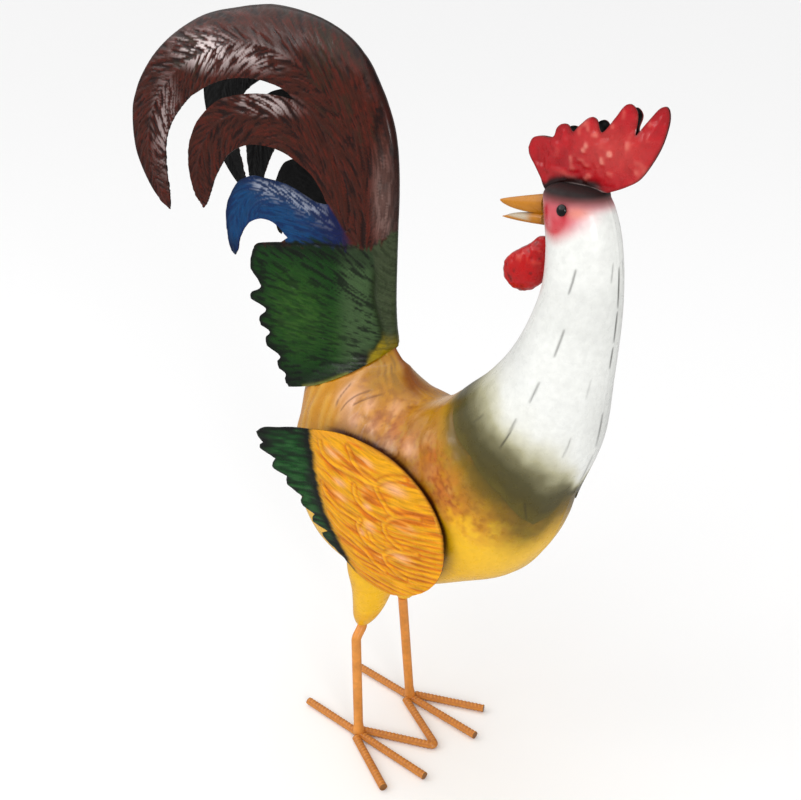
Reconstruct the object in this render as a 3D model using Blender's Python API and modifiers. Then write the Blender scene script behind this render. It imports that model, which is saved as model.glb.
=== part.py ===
"""Painted sheet-metal rooster that stands on two wire feet and looks back over its tail.

Built about the point midway between the feet: +X is the way the chest points, +Y the bird's
left, +Z up. Sizes are in millimetres and turned into metres when each mesh is made. Heights are
measured from the axes of the toes. At the end every piece is raised so that the toes lie on the
ground, and moved along X so that the middle of the whole figure lies over the origin.
"""

import math

import bmesh
import bpy
import numpy as np
from mathutils import Matrix, Vector
from mathutils.geometry import delaunay_2d_cdt

MM = 0.001
GAP = 0.3
SHARP_ANGLE = 40.0

# Body and neck, as cross-sections from the tail root round the belly to the crown of the head:
# inner point x and z (on the hollow of the back), outer point x and z, half width.
SECTIONS = [
    (8, 323, -48, 330, 4.4),
    (13, 302, -63, 300, 7.8),
    (21, 291, -69, 272, 12.8),
    (25, 283, -73, 244, 25),
    (31, 277, -73, 206, 36.5),
    (39, 274, -64, 169, 44.5),
    (46, 274, -40, 143, 49),
    (52, 276, -4, 133, 50),
    (55, 278, 41, 139.5, 50),
    (57, 279, 84, 160, 48),
    (61, 281, 115.5, 179, 46.5),
    (68.5, 287, 137, 208, 43),
    (78.5, 296, 150, 243, 39),
    (92, 308, 163, 279, 35),
    (107, 326, 167, 317, 29),
    (118, 346, 169.5, 352, 24),
    (125, 367, 169, 378, 20.3),
    (126, 388, 166, 398, 18.6),
    (123.5, 405, 161.5, 411.5, 17.3),
    (122, 413.5, 158, 418, 15.8),
]
CROWN_HEIGHT = 6.0
BODY_SIDES = 34
BODY_RINGS = 23
TAIL_LAP_FRONT = 1.75
TAIL_LAP_BACK = 3.3
TAIL_LAP_DEPTH = 2.7
CAPE_LAP_START = 10.8
CAPE_EDGE = 11.72
CAPE_LAP_DEPTH = 1.5
BODY_END = 13.0

# Hackle: the white shell of the neck, with pointed feathers along its lower edge.
HACKLE_SIDES = 44
HACKLE_RINGS = 16
HACKLE_PROUD = 0.5
HACKLE_WALL = 1.2
CAPE_POINTS = 11
CAPE_POINT_DEPTH = 0.22

# Thighs: round cones below the belly, as centre x, y, z and radius from the tip up.
THIGH_SECTIONS = [
    (-1.0, 21, 94, 4.0),
    (0.6, 21.5, 97.5, 6.0),
    (3.6, 22, 105, 9.0),
    (8.2, 23, 117, 11.6),
    (12.5, 24.5, 132, 14.2),
    (15, 26, 150, 17.5),
    (16, 27, 165, 17.5),
]
THIGH_SIDES = 18

# Tail: seam along the front and over the top, then the free outer edge of the big feather.
TAIL_SEAM = [
    (14, 301), (12, 312), (11.5, 323), (11.5, 336), (12, 352), (13, 375), (14, 395), (14, 410),
    (13, 425), (10, 438), (5, 450), (-2, 462), (-10, 473), (-22, 483), (-36, 490), (-52, 495),
    (-72, 498.5), (-92, 500),
]
BIG_FEATHER_OUTER = [
    (-107, 499), (-121, 497), (-136, 494.5), (-149, 490.5), (-164, 483), (-177, 474),
    (-189, 462.5), (-200, 447.5), (-205.5, 434), (-206.5, 422.5), (-205, 409), (-201, 397),
    (-191, 382), (-179.5, 371),
]
BIG_FEATHER_TIP = (-167.5, 365)
BIG_FEATHER_INNER = [
    (-168, 374.5), (-170.5, 388.5), (-172, 400.5), (-171, 413), (-165, 425.5), (-153, 438.5),
    (-140, 446), (-124, 452.5), (-109, 456), (-91, 457), (-76, 455), (-66, 452),
]
FIRST_CROTCH = (-59, 447)
SECOND_FEATHER_OUTER = [
    (-72, 448.5), (-84, 448.5), (-97, 447.5), (-111, 445), (-123, 441.5), (-133.5, 435),
    (-143, 427), (-149, 419), (-153.5, 409), (-155, 397), (-154, 386), (-151, 376),
]
SECOND_FEATHER_TIP = (-143.5, 368)
SECOND_FEATHER_INNER = [
    (-139, 374), (-135.5, 381.5), (-132, 388.5), (-127, 396), (-121.5, 403), (-115.5, 408.5),
    (-106, 413.3), (-96, 415.8), (-84, 416.3), (-74, 415), (-65, 412.3), (-56, 408), (-47, 402.5),
    (-40, 395),
]
SECOND_CROTCH = (-35, 385.5)
BLUE_FEATHER_OUTER = [
    (-44, 386), (-54, 389.5), (-64, 393), (-74, 394.8), (-85, 395.5), (-96, 396), (-104, 393.5),
    (-111, 389.5), (-118, 380.5), (-121.5, 373), (-123.2, 364), (-122.7, 350), (-120.5, 342),
]
BLUE_FEATHER_TIP = (-116.7, 339.5)
BLUE_FEATHER_INNER = [
    (-114, 344), (-112, 351), (-108, 358), (-103, 363.5), (-96, 367), (-89, 368.5), (-82, 367.5),
    (-76, 365),
]
THIRD_CROTCH = (-69, 359)
FLAP_TOP_EDGE = [(-75, 355), (-84, 353.5), (-92, 352)]
FLAP_LOBES = [
    ((-98, 349.5), (-103, 340), (-103.5, 332)),
    ((-94.5, 321.5), (-103.5, 315.5), (-105, 310.5)),
    ((-91, 306), (-97.5, 299), (-97, 293)),
    ((-88.5, 290), (-93, 284.5), (-92, 279)),
    ((-80.5, 274), (-83.5, 269), (-82, 264)),
    ((-76, 261.5), (-77.5, 257), (-74, 252.5)),
]
BLUE_FEATHER_LIFT = 6.0
FLAP_BOTTOM_EDGE = [(-60, 256.3), (-46, 262), (-32, 269), (-17, 277.5), (-4.5, 286), (5, 293)]
TAIL_FRONT_HALF_WIDTH = 8.0
TAIL_SPREAD = 0.115
TAIL_TIP_SPREAD = 0.12
TAIL_TIP_TOP = 440.0
TAIL_TIP_FRONT = -152.0
TAIL_ROUNDING = 2.2
TAIL_SHEET = 1.0
TAIL_MESH_STEP = 13.0

# Wing: a round shield with a long point behind it and a jagged lower back edge.
WING_TOP_EDGE = [
    (-66, 235), (-52, 239.5), (-38, 244), (-24, 247.5), (-10, 251), (4, 253.5), (14, 254.5),
]
WING_DISC_CENTRE = (44, 206)
WING_DISC_RADIUS = 52.0
WING_DISC_START = 118.0
WING_DISC_END = -112.0
WING_LOBES = [
    ((-73, 229.8), (-70.7, 225.8), (-66.8, 223.7)),
    ((-70, 221), (-69, 217.9), (-54.6, 215.5)),
    ((-57.5, 211.3), (-57, 207.4), (-43.5, 206)),
    ((-44.5, 203), (-42.6, 199.3), (-28.8, 195.9)),
    ((-30.6, 192.5), (-28.8, 189.3), (-17.5, 187)),
    ((-20, 182.8), (-17.5, 180), (-4, 179.6)),
    ((-10.5, 175.4), (-8.5, 172.2), (2.5, 168.6)),
]
WING_BACK_END = (14, 162.5)
WING_RIM_OFFSET = 48.2
WING_DOME = 3.9
WING_SHEET = 1.0
WING_MESH_STEP = 13.0

# Comb: five rounded points, in two sheets that open towards the top.
COMB_OUTLINE = [
    (114, 429.5), (110.3, 433.5), (108.3, 438), (110.7, 443), (116, 444.7), (124, 444.6),
    (127.5, 450),
    (130.5, 452.2), (133.5, 450.3), (136.7, 448.9), (141, 453), (145.7, 456.7), (148.5, 453.8),
    (152.5, 450), (159, 458), (165, 464.6), (168, 465.8), (170, 462), (172, 452), (178, 459),
    (183.2, 465.6), (186.2, 466.7), (188.6, 464.5), (189.2, 459), (186.8, 449), (182.3, 439.5),
    (176, 430.5), (168.5, 425.6), (160.5, 422.8), (155, 423.4), (147, 424), (140, 424),
    (132, 423.4), (125, 422.2), (119.5, 420.2), (116.5, 423.5),
]
COMB_BASE_Z = 420.0
COMB_BASE_HALF_GAP = 0.7
COMB_OPENING = 0.045
COMB_BULGE = 1.0
COMB_SHEET = 0.9
COMB_MESH_STEP = 6.0

# Beak: sections from the face to the tip, as x, bottom z, top z, half width.
UPPER_BEAK = [
    (121.0, 404.6, 415.2, 4.6),
    (115.0, 403.6, 413.8, 4.1),
    (107.0, 403.4, 411.9, 3.2),
    (99.0, 404.0, 409.9, 2.2),
    (93.5, 405.2, 408.4, 1.3),
    (90.8, 406.4, 407.5, 0.5),
]
LOWER_BEAK = [
    (121.0, 398.2, 403.3, 4.0),
    (113.0, 397.8, 402.7, 3.5),
    (104.0, 397.6, 401.3, 2.6),
    (97.0, 397.7, 399.4, 1.5),
    (92.8, 398.0, 398.5, 0.5),
]
BEAK_SIDES = 12

# Wattle: sections from the top down, in the same form as those of the body.
WATTLE_SECTIONS = [
    (118, 391.5, 122.5, 392, 1.8),
    (112, 386.5, 124, 388, 4.0),
    (103, 381, 124, 383, 6.2),
    (97, 375, 124, 377, 7.6),
    (95.2, 369, 123, 371, 8.0),
    (97.5, 363.5, 120.5, 365, 6.8),
    (102.5, 360.2, 115, 361, 4.2),
]
WATTLE_SIDES = 16

# Eye: a low dome on each side of the head.
EYE_SECTION = 18.45
EYE_TURN = 266.0
EYE_SIDES = 16
EYE_STAND_OFF = 0.45
EYE_WIDTH = 5.6
EYE_HEIGHT = 6.2
EYE_BULGE = 1.9

# Legs and toes.
FOOT_HALF_SPACING = 28.0
LEG_RADIUS = 3.25
LEG_SIDES = 14
LEG_CLEARANCE = 0.7
RIGHT_LEG_BEND = (-0.6, -28.0, 84.5)
LEG_TOP_RUN = 2.5
WELD_RADIUS = 5.0
WELD_HEIGHT = 7.0
TOE_RADIUS = 2.9
TOE_SIDES = 12
MIDDLE_TOE = 64.7
BACK_TOE = 53.5
OUTER_TOE_START = 4.5
OUTER_TOE_END = (51.0, 27.5)
INNER_TOE_START = 3.0
INNER_TOE_TIP = 51.3
INNER_TOE_ROUNDING = 4.0


def clear_scene():
    for thing in list(bpy.data.objects):
        bpy.data.objects.remove(thing, do_unlink=True)


def paint(name, colour, metallic, roughness):
    material = bpy.data.materials.new(name)
    material.use_nodes = True
    shader = material.node_tree.nodes["Principled BSDF"]
    shader.inputs["Base Color"].default_value = (*colour, 1.0)
    shader.inputs["Metallic"].default_value = metallic
    shader.inputs["Roughness"].default_value = roughness
    return material


def add_mesh(name, points, faces, material, home):
    """An object with these points, in millimetres, and these faces, which keep their sides."""
    mesh = bpy.data.meshes.new(name)
    mesh.from_pydata([tuple(float(c) * MM for c in p) for p in points], [], faces)
    mesh.shade_smooth()
    mesh.set_sharp_from_angle(angle=math.radians(SHARP_ANGLE))
    thing = bpy.data.objects.new(name, mesh)
    home.objects.link(thing)
    if material:
        mesh.materials.append(material)
    return thing


def add_solid(name, points, faces, material, home):
    """A closed body: its faces are turned to point out."""
    thing = add_mesh(name, points, faces, material, home)
    shape = bmesh.new()
    shape.from_mesh(thing.data)
    bmesh.ops.remove_doubles(shape, verts=shape.verts, dist=0.00001)
    bmesh.ops.recalc_face_normals(shape, faces=shape.faces)
    shape.to_mesh(thing.data)
    shape.free()
    return thing


# Curves and lofts.


def smooth_values(rows, places):
    """Rows of numbers interpolated by a curve through them, at fractional row numbers."""
    rows = np.asarray(rows, float)
    places = np.atleast_1d(np.asarray(places, float))
    low = np.clip(np.floor(places).astype(int), 0, len(rows) - 2)
    part = (places - low)[:, None]
    a = rows[np.maximum(low - 1, 0)]
    b = rows[low]
    c = rows[low + 1]
    d = rows[np.minimum(low + 2, len(rows) - 1)]
    a = np.where((low == 0)[:, None], 2 * b - c, a)
    d = np.where((low == len(rows) - 2)[:, None], 2 * c - b, d)
    linear = c - a
    square = 2 * a - 5 * b + 4 * c - d
    cube = 3 * b - 3 * c + d - a
    return 0.5 * (2 * b + linear * part + square * part**2 + cube * part**3)


def smooth_line(points, per_span):
    count = (len(points) - 1) * per_span + 1
    return smooth_values(points, np.linspace(0, len(points) - 1, count))


def section_points(sections, places, turns, inset=0.0):
    """Points on the loft at fractional section numbers; turns are radians from the outer point."""
    rows = smooth_values(sections, places)
    middle = (rows[:, 0:2] + rows[:, 2:4]) / 2
    half = (rows[:, 2:4] - rows[:, 0:2]) / 2
    reach = np.linalg.norm(half, axis=1)
    half = half * ((reach - inset) / reach)[:, None]
    width = rows[:, 4] - inset
    along = np.cos(turns)
    x = middle[:, 0] + half[:, 0] * along
    y = width * np.sin(turns)
    z = middle[:, 1] + half[:, 1] * along
    return np.stack([x, y, z], axis=1)


def ring_faces(rings, sides, wrap=True):
    faces = []
    for ring in range(rings - 1):
        for side in range(sides if wrap else sides - 1):
            near = ring * sides + side
            far = ring * sides + (side + 1) % sides
            faces.append((near, far, far + sides, near + sides))
    return faces


def turns_of(sides):
    return np.arange(sides) * 2 * math.pi / sides


def ease(value):
    value = np.clip(value, 0, 1)
    return value * value * (3 - 2 * value)


def body_inset(places, turns):
    """How far the body is drawn in where the tail sheets and the cape lap over it."""
    lap_end = TAIL_LAP_FRONT + (TAIL_LAP_BACK - TAIL_LAP_FRONT) * (1 + np.cos(turns)) / 2
    tail = 1 - ease((places - lap_end) / 0.6)
    cape = ease((places - CAPE_LAP_START) / (CAPE_EDGE - CAPE_LAP_START - 0.25))
    return np.maximum(TAIL_LAP_DEPTH * tail, CAPE_LAP_DEPTH * cape)


def make_body(material, home, helpers):
    turns = turns_of(BODY_SIDES)
    points = []
    for place in np.linspace(0, BODY_END, BODY_RINGS):
        places = np.full(BODY_SIDES, place)
        points.extend(section_points(SECTIONS, places, turns, body_inset(places, turns)))
    faces = ring_faces(BODY_RINGS, BODY_SIDES)
    faces.append(tuple(range(BODY_SIDES)))
    faces.append(tuple((BODY_RINGS - 1) * BODY_SIDES + k for k in range(BODY_SIDES)))
    body = add_solid("body", points, faces, material, home)
    for side in (-1, 1):
        thigh = make_thigh(side, helpers)
        union = body.modifiers.new(thigh.name, "BOOLEAN")
        union.operation = "UNION"
        union.solver = "EXACT"
        union.object = thigh
    return body


def make_thigh(side, helpers):
    turns = turns_of(THIGH_SIDES)
    points = []
    for x, y, z, radius in THIGH_SECTIONS:
        for turn in turns:
            points.append((x + radius * math.cos(turn), side * y + radius * math.sin(turn), z))
    rings = len(THIGH_SECTIONS)
    faces = ring_faces(rings, THIGH_SIDES)
    faces.append(tuple(range(THIGH_SIDES)))
    faces.append(tuple((rings - 1) * THIGH_SIDES + k for k in range(THIGH_SIDES)))
    name = "thigh_right" if side < 0 else "thigh_left"
    thigh = add_solid(name, points, faces, None, helpers)
    thigh.hide_render = True
    thigh.display_type = "WIRE"
    return thigh


def cape_edge(turns):
    """Section number of the cape's pointed lower edge."""
    saw = np.abs(((turns / (2 * math.pi) * CAPE_POINTS) % 1) * 2 - 1)
    return CAPE_EDGE - CAPE_POINT_DEPTH * (1 - saw)


def make_hackle(material, home):
    turns = turns_of(HACKLE_SIDES)
    last = len(SECTIONS) - 1
    edge = cape_edge(turns)
    points = []
    for step in np.linspace(0, 1, HACKLE_RINGS):
        places = edge + (last - edge) * step
        proud = HACKLE_PROUD * (1 - ease(step * 3))
        points.extend(section_points(SECTIONS, places, turns, -proud))
    inner_x, inner_z, outer_x, outer_z, width = SECTIONS[-1]
    middle = np.array([(inner_x + outer_x) / 2, 0, (inner_z + outer_z) / 2])
    half = np.array([(outer_x - inner_x) / 2, 0, (outer_z - inner_z) / 2])
    up = np.array([-half[2], 0, half[0]]) / np.linalg.norm(half)
    crown_steps = (0.35, 0.62, 0.82, 0.94)
    for rise in crown_steps:
        shrink = (1 - rise**2.4) ** (1 / 2.4)
        for turn in turns:
            sideways = np.array([0, width * math.sin(turn), 0])
            points.append(
                middle + shrink * (half * math.cos(turn) + sideways) + up * CROWN_HEIGHT * rise
            )
    rings = HACKLE_RINGS + len(crown_steps)
    faces = ring_faces(rings, HACKLE_SIDES)
    points.append(middle + up * CROWN_HEIGHT)
    top = len(points) - 1
    for side in range(HACKLE_SIDES):
        low = (rings - 1) * HACKLE_SIDES
        faces.append((low + side, low + (side + 1) % HACKLE_SIDES, top))
    # The hollow that the body's end reaches up into.
    inset = HACKLE_WALL - HACKLE_PROUD
    first = len(points)
    inner_rings = 5
    for step in np.linspace(0, 1, inner_rings):
        places = edge + (BODY_END + 0.06 - edge) * step
        points.extend(section_points(SECTIONS, places, turns, inset))
    for face in ring_faces(inner_rings, HACKLE_SIDES):
        faces.append(tuple(first + corner for corner in face))
    end = first + (inner_rings - 1) * HACKLE_SIDES
    faces.append(tuple(end + side for side in range(HACKLE_SIDES)))
    for side in range(HACKLE_SIDES):
        other = (side + 1) % HACKLE_SIDES
        faces.append((side, other, first + other, first + side))
    return add_solid("hackle", points, faces, material, home)


# Thin sheets: an outline filled with triangles, bent to its shape and given thickness.


def distance_to_line(points, line):
    """Distance of each point from a polyline, and how far along the line the nearest point is."""
    points = np.asarray(points, float)
    best = np.full(len(points), 1e9)
    place = np.zeros(len(points))
    for k in range(len(line) - 1):
        a = line[k]
        step = line[k + 1] - a
        part = np.clip(((points - a) @ step) / (step @ step), 0, 1)
        apart = np.linalg.norm(points - a - part[:, None] * step, axis=1)
        closer = apart < best
        best[closer] = apart[closer]
        place[closer] = (k + part[closer]) / (len(line) - 1)
    return best, place


def fill_outline(outline, inner_points):
    """Triangles that fill a closed outline, using the inner points too."""
    flat = [Vector((float(p[0]), float(p[1]))) for p in outline]
    count = len(flat)
    edges = [(k, (k + 1) % count) for k in range(count)]
    flat += [Vector((float(p[0]), float(p[1]))) for p in inner_points]
    verts, _, faces, _, _, _ = delaunay_2d_cdt(flat, edges, [list(range(count))], 1, 0.0001)
    return np.array([(v[0], v[1]) for v in verts]), [tuple(f) for f in faces]


def inside_outline(points, outline):
    points = np.asarray(points, float)
    inside = np.zeros(len(points), bool)
    for k in range(len(outline)):
        ax, az = outline[k]
        bx, bz = outline[(k + 1) % len(outline)]
        if az == bz:
            continue
        crosses = (points[:, 1] < az) != (points[:, 1] < bz)
        at = ax + (points[:, 1] - az) / (bz - az) * (bx - ax)
        inside ^= crosses & (points[:, 0] < at)
    return inside


def lattice(outline, step, margin):
    """Points of a triangular lattice inside the outline, at least the margin from its edge."""
    low = outline.min(axis=0)
    high = outline.max(axis=0)
    points = []
    for row in range(int((high[1] - low[1]) / (step * 0.866)) + 1):
        for column in range(int((high[0] - low[0]) / step) + 2):
            x = low[0] + (column + 0.5 * (row % 2)) * step
            points.append((x, low[1] + row * step * 0.866))
    points = np.array(points)
    points = points[inside_outline(points, outline)]
    closed = np.vstack([outline, outline[:1]])
    return points[distance_to_line(points, closed)[0] > margin]


def facing_out(points, faces):
    """The triangles, each turned so that it faces towards -Y."""
    turned = []
    for a, b, c in faces:
        normal = np.cross(points[b] - points[a], points[c] - points[a])
        turned.append((a, c, b) if normal[1] > 0 else (a, b, c))
    return turned


def add_sheet(name, flat, faces, depth, thickness, side, material, home):
    """A sheet on one side of the middle plane, with its outer face at the given depths from it."""
    points = np.stack([flat[:, 0], -depth, flat[:, 1]], axis=1)
    turned = facing_out(points, faces)
    if side > 0:
        points[:, 1] = -points[:, 1]
        turned = [face[::-1] for face in turned]
    sheet = add_mesh(name, points, turned, material, home)
    solidify = sheet.modifiers.new("thickness", "SOLIDIFY")
    solidify.thickness = thickness * MM
    solidify.offset = -1
    return sheet


def seamed_sheet(flat, faces, depth, thickness, side, seam_normals):
    """Both faces of a sheet whose edge meets its twin's along a seam on the middle plane."""
    points = np.stack([flat[:, 0], -depth, flat[:, 1]], axis=1)
    turned = facing_out(points, faces)
    normals = np.zeros_like(points)
    for a, b, c in turned:
        normals[[a, b, c]] += np.cross(points[b] - points[a], points[c] - points[a])
    for corner, normal in seam_normals.items():
        normals[corner] = normal
    normals /= np.linalg.norm(normals, axis=1)[:, None]
    inner = points - normals * thickness
    inner[:, 1] = np.minimum(inner[:, 1], -GAP / 2)
    count = len(points)
    solid = turned + [(count + a, count + c, count + b) for a, b, c in turned]
    edges = {(face[k], face[(k + 1) % 3]) for face in turned for k in range(3)}
    for a, b in sorted(edges):
        if (b, a) not in edges:
            solid.append((a, count + a, count + b, b))
    every = np.vstack([points, inner])
    every[:, 1] *= -side
    return every, solid


def lifted(points, lift):
    """Points of the blue feather, raised more the nearer they are to its tip."""
    points = np.array(points, float)
    root_x = SECOND_CROTCH[0]
    share = np.clip((root_x - points[:, 0]) / (root_x - BLUE_FEATHER_TIP[0]), 0, 1)
    points[:, 1] += lift * ease(share)
    return points


def tail_outline(lift):
    """Outline of one tail sheet, starting with its seam, and the number of points in the seam."""
    seam = smooth_line(TAIL_SEAM, 1)
    parts = [
        smooth_line([TAIL_SEAM[-1]] + BIG_FEATHER_OUTER + [BIG_FEATHER_TIP], 1)[1:],
        smooth_line([BIG_FEATHER_TIP] + BIG_FEATHER_INNER + [FIRST_CROTCH], 1)[1:],
        smooth_line([FIRST_CROTCH] + SECOND_FEATHER_OUTER + [SECOND_FEATHER_TIP], 1)[1:],
        smooth_line([SECOND_FEATHER_TIP] + SECOND_FEATHER_INNER + [SECOND_CROTCH], 1)[1:],
        lifted(BLUE_FEATHER_OUTER + [BLUE_FEATHER_TIP] + BLUE_FEATHER_INNER, lift),
        np.array([THIRD_CROTCH] + FLAP_TOP_EDGE, float),
        np.array([point for lobe in FLAP_LOBES for point in lobe], float),
        np.array(FLAP_BOTTOM_EDGE, float),
    ]
    return np.vstack([seam] + parts), len(seam)


def half_width_at(points):
    """Half width of the body's loft at points x, z near the tail root; 0 outside it."""
    places = np.linspace(0, 5, 101)
    turns = np.linspace(math.pi, 2 * math.pi, 61)
    grid = [section_points(SECTIONS, np.full(len(turns), p), turns) for p in places]
    cloud = np.vstack(grid)
    width = np.zeros(len(points))
    for k, (x, z) in enumerate(points):
        apart = np.hypot(cloud[:, 0] - x, cloud[:, 2] - z)
        near = np.argsort(apart)[:4]
        if apart[near[0]] < 2.5:
            share = 1 / (apart[near] + 0.05)
            width[k] = (share * -cloud[near, 1]).sum() / share.sum()
    return width


def tail_spread(points):
    """Distance from the middle plane to the flat of a tail sheet, at points x, z."""
    back = np.maximum(0, -points[:, 0])
    low = np.maximum(0, TAIL_TIP_TOP - points[:, 1])
    free = ease((TAIL_TIP_FRONT - points[:, 0]) / 14)
    return TAIL_FRONT_HALF_WIDTH + TAIL_SPREAD * back + TAIL_TIP_SPREAD * low * free


def tail_depth(flat):
    """Distance of the tail sheet's outer face from the middle plane."""
    edge = smooth_line(TAIL_SEAM + BIG_FEATHER_OUTER, 3)
    top = (len(TAIL_SEAM) - 1) / (len(TAIL_SEAM) + len(BIG_FEATHER_OUTER) - 1)
    apart, place = distance_to_line(flat, edge)
    full = tail_spread(flat)
    rounding = np.clip(apart / (TAIL_ROUNDING * full), 0, 1)
    rise = np.sqrt(np.clip(1 - (1 - rounding) ** 2, 0, 1))
    freed = 0.95 * ease((place - top + 0.04) / 0.34)
    depth = full * (freed + (1 - freed) * rise)
    return np.maximum(np.maximum(depth, half_width_at(flat)), GAP / 2)


def make_tail(side, material, home):
    outline, seam_count = tail_outline(0.0 if side < 0 else BLUE_FEATHER_LIFT)
    edge = smooth_line(TAIL_SEAM, 2)
    rows = []
    normals = np.stack([np.gradient(edge[:, 1]), -np.gradient(edge[:, 0])], axis=1)
    normals /= np.linalg.norm(normals, axis=1)[:, None]
    full = tail_spread(edge)
    for angle in (0.2, 0.55):
        inset = (full * TAIL_ROUNDING * angle**2)[:, None]
        rows.append((edge - normals * inset)[1:-1:2])
    rows = np.vstack(rows)
    closed = np.vstack([outline, outline[:1]])
    rows = rows[inside_outline(rows, outline)]
    rows = rows[distance_to_line(rows, closed)[0] > 0.4]
    plain = lattice(outline, TAIL_MESH_STEP, 4.0)
    far = np.array([np.hypot(*(rows - p).T).min() > TAIL_MESH_STEP * 0.55 for p in plain])
    flat, faces = fill_outline(outline, np.vstack([rows, plain[far]]))
    depth = tail_depth(flat)
    seam_normals = {}
    for k in range(seam_count):
        x, z = TAIL_SEAM[k]
        nearest = int(np.argmin(np.hypot(flat[:, 0] - x, flat[:, 1] - z)))
        normal = normals[min(2 * k, len(normals) - 1)]
        seam_normals[nearest] = np.array([normal[0], 0, normal[1]])
        depth[nearest] = GAP / 2
    points, solid = seamed_sheet(flat, faces, depth, TAIL_SHEET, side, seam_normals)
    name = "tail_right" if side < 0 else "tail_left"
    return add_solid(name, points, solid, material, home)


def wing_outline():
    cx, cz = WING_DISC_CENTRE
    arc = []
    for turn in np.linspace(WING_DISC_START, WING_DISC_END, 24):
        angle = math.radians(turn)
        x = cx + WING_DISC_RADIUS * math.cos(angle)
        arc.append((x, cz + WING_DISC_RADIUS * math.sin(angle)))
    arc = np.array(arc)
    lobes = [point for lobe in WING_LOBES for point in lobe]
    back = np.array([WING_BACK_END] + lobes[::-1], float)
    return np.vstack([np.array(WING_TOP_EDGE, float), arc, back])


def wing_depth(flat):
    """The wing is a shallow dome, highest over the middle of its shield."""
    cx, cz = WING_DISC_CENTRE
    apart = np.hypot((flat[:, 0] - cx) / 1.35, flat[:, 1] - cz) / WING_DISC_RADIUS
    return WING_RIM_OFFSET + WING_DOME * (1 - np.clip(apart, 0, 1) ** 2)


def make_wing(side, material, home):
    outline = wing_outline()
    flat, faces = fill_outline(outline, lattice(outline, WING_MESH_STEP, 5.0))
    name = "wing_right" if side < 0 else "wing_left"
    return add_sheet(name, flat, faces, wing_depth(flat), WING_SHEET, side, material, home)


def comb_outline():
    closed = COMB_OUTLINE + [COMB_OUTLINE[0]]
    return smooth_line(closed, 1)[:-1]


def comb_depth(flat, outline):
    closed = np.vstack([outline, outline[:1]])
    edge = distance_to_line(flat, closed)[0]
    opening = COMB_OPENING * np.maximum(0, flat[:, 1] - COMB_BASE_Z)
    return COMB_BASE_HALF_GAP + COMB_SHEET + opening + COMB_BULGE * ease(edge / 9)


def make_comb(side, material, home):
    outline = comb_outline()
    flat, faces = fill_outline(outline, lattice(outline, COMB_MESH_STEP, 2.5))
    depth = comb_depth(flat, outline)
    name = "comb_right" if side < 0 else "comb_left"
    return add_sheet(name, flat, faces, depth, COMB_SHEET, side, material, home)


def make_beak(name, sections, material, home):
    points = []
    for x, low, high, width in sections:
        for turn in turns_of(BEAK_SIDES):
            z = (low + high) / 2 + (high - low) / 2 * math.sin(turn)
            points.append((x, width * math.cos(turn), z))
    rings = len(sections)
    faces = ring_faces(rings, BEAK_SIDES)
    faces.append(tuple(range(BEAK_SIDES)))
    faces.append(tuple((rings - 1) * BEAK_SIDES + k for k in range(BEAK_SIDES)))
    return add_solid(name, points, faces, material, home)


def make_wattle(material, home):
    turns = turns_of(WATTLE_SIDES)
    places = np.linspace(0, len(WATTLE_SECTIONS) - 1, 12)
    points = []
    for place in places:
        points.extend(section_points(WATTLE_SECTIONS, np.full(WATTLE_SIDES, place), turns))
    rings = len(places)
    faces = ring_faces(rings, WATTLE_SIDES)
    faces.append(tuple(range(WATTLE_SIDES)))
    faces.append(tuple((rings - 1) * WATTLE_SIDES + k for k in range(WATTLE_SIDES)))
    return add_solid("wattle", points, faces, material, home)


def eye_frame():
    """Middle, sideways, upward and outward directions of the right eye on the head."""
    turn = math.radians(EYE_TURN)
    offsets = ((0, 0), (0.02, 0), (0, 0.02))
    spots = [
        section_points(SECTIONS, [EYE_SECTION + u], np.array([turn + v]))[0] for u, v in offsets
    ]
    up = (spots[1] - spots[0]) / np.linalg.norm(spots[1] - spots[0])
    out = np.cross(spots[2] - spots[0], up)
    out /= -math.copysign(np.linalg.norm(out), out[1])
    return spots[0] + out * EYE_STAND_OFF, np.cross(out, up), up, out


def make_eye(side, material, home):
    """Half a ball, flattened to a low dome and set on the side of the head."""
    middle, across, up, out = eye_frame()
    axes = [across * EYE_WIDTH / 2, up * EYE_HEIGHT / 2, out * EYE_BULGE, middle]
    place = Matrix([[float(axis[k]) for axis in axes] for k in range(3)] + [(0, 0, 0, 1)])
    flip = Matrix.Diagonal((MM, -side * MM, MM, 1))
    shape = bmesh.new()
    bmesh.ops.create_uvsphere(shape, u_segments=EYE_SIDES, v_segments=8, radius=1)
    parts = shape.verts[:] + shape.edges[:] + shape.faces[:]
    half = bmesh.ops.bisect_plane(
        shape, geom=parts, plane_co=(0, 0, 0), plane_no=(0, 0, 1), clear_inner=True
    )
    rim = [part for part in half["geom_cut"] if isinstance(part, bmesh.types.BMEdge)]
    bmesh.ops.contextual_create(shape, geom=rim)
    bmesh.ops.transform(shape, matrix=flip @ place, verts=shape.verts)
    bmesh.ops.recalc_face_normals(shape, faces=shape.faces)
    mesh = bpy.data.meshes.new("eye")
    shape.to_mesh(mesh)
    shape.free()
    mesh.shade_smooth()
    mesh.set_sharp_from_angle(angle=math.radians(SHARP_ANGLE))
    mesh.materials.append(material)
    eye = bpy.data.objects.new("eye_right" if side < 0 else "eye_left", mesh)
    home.objects.link(eye)
    return eye


# Rods.


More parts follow.
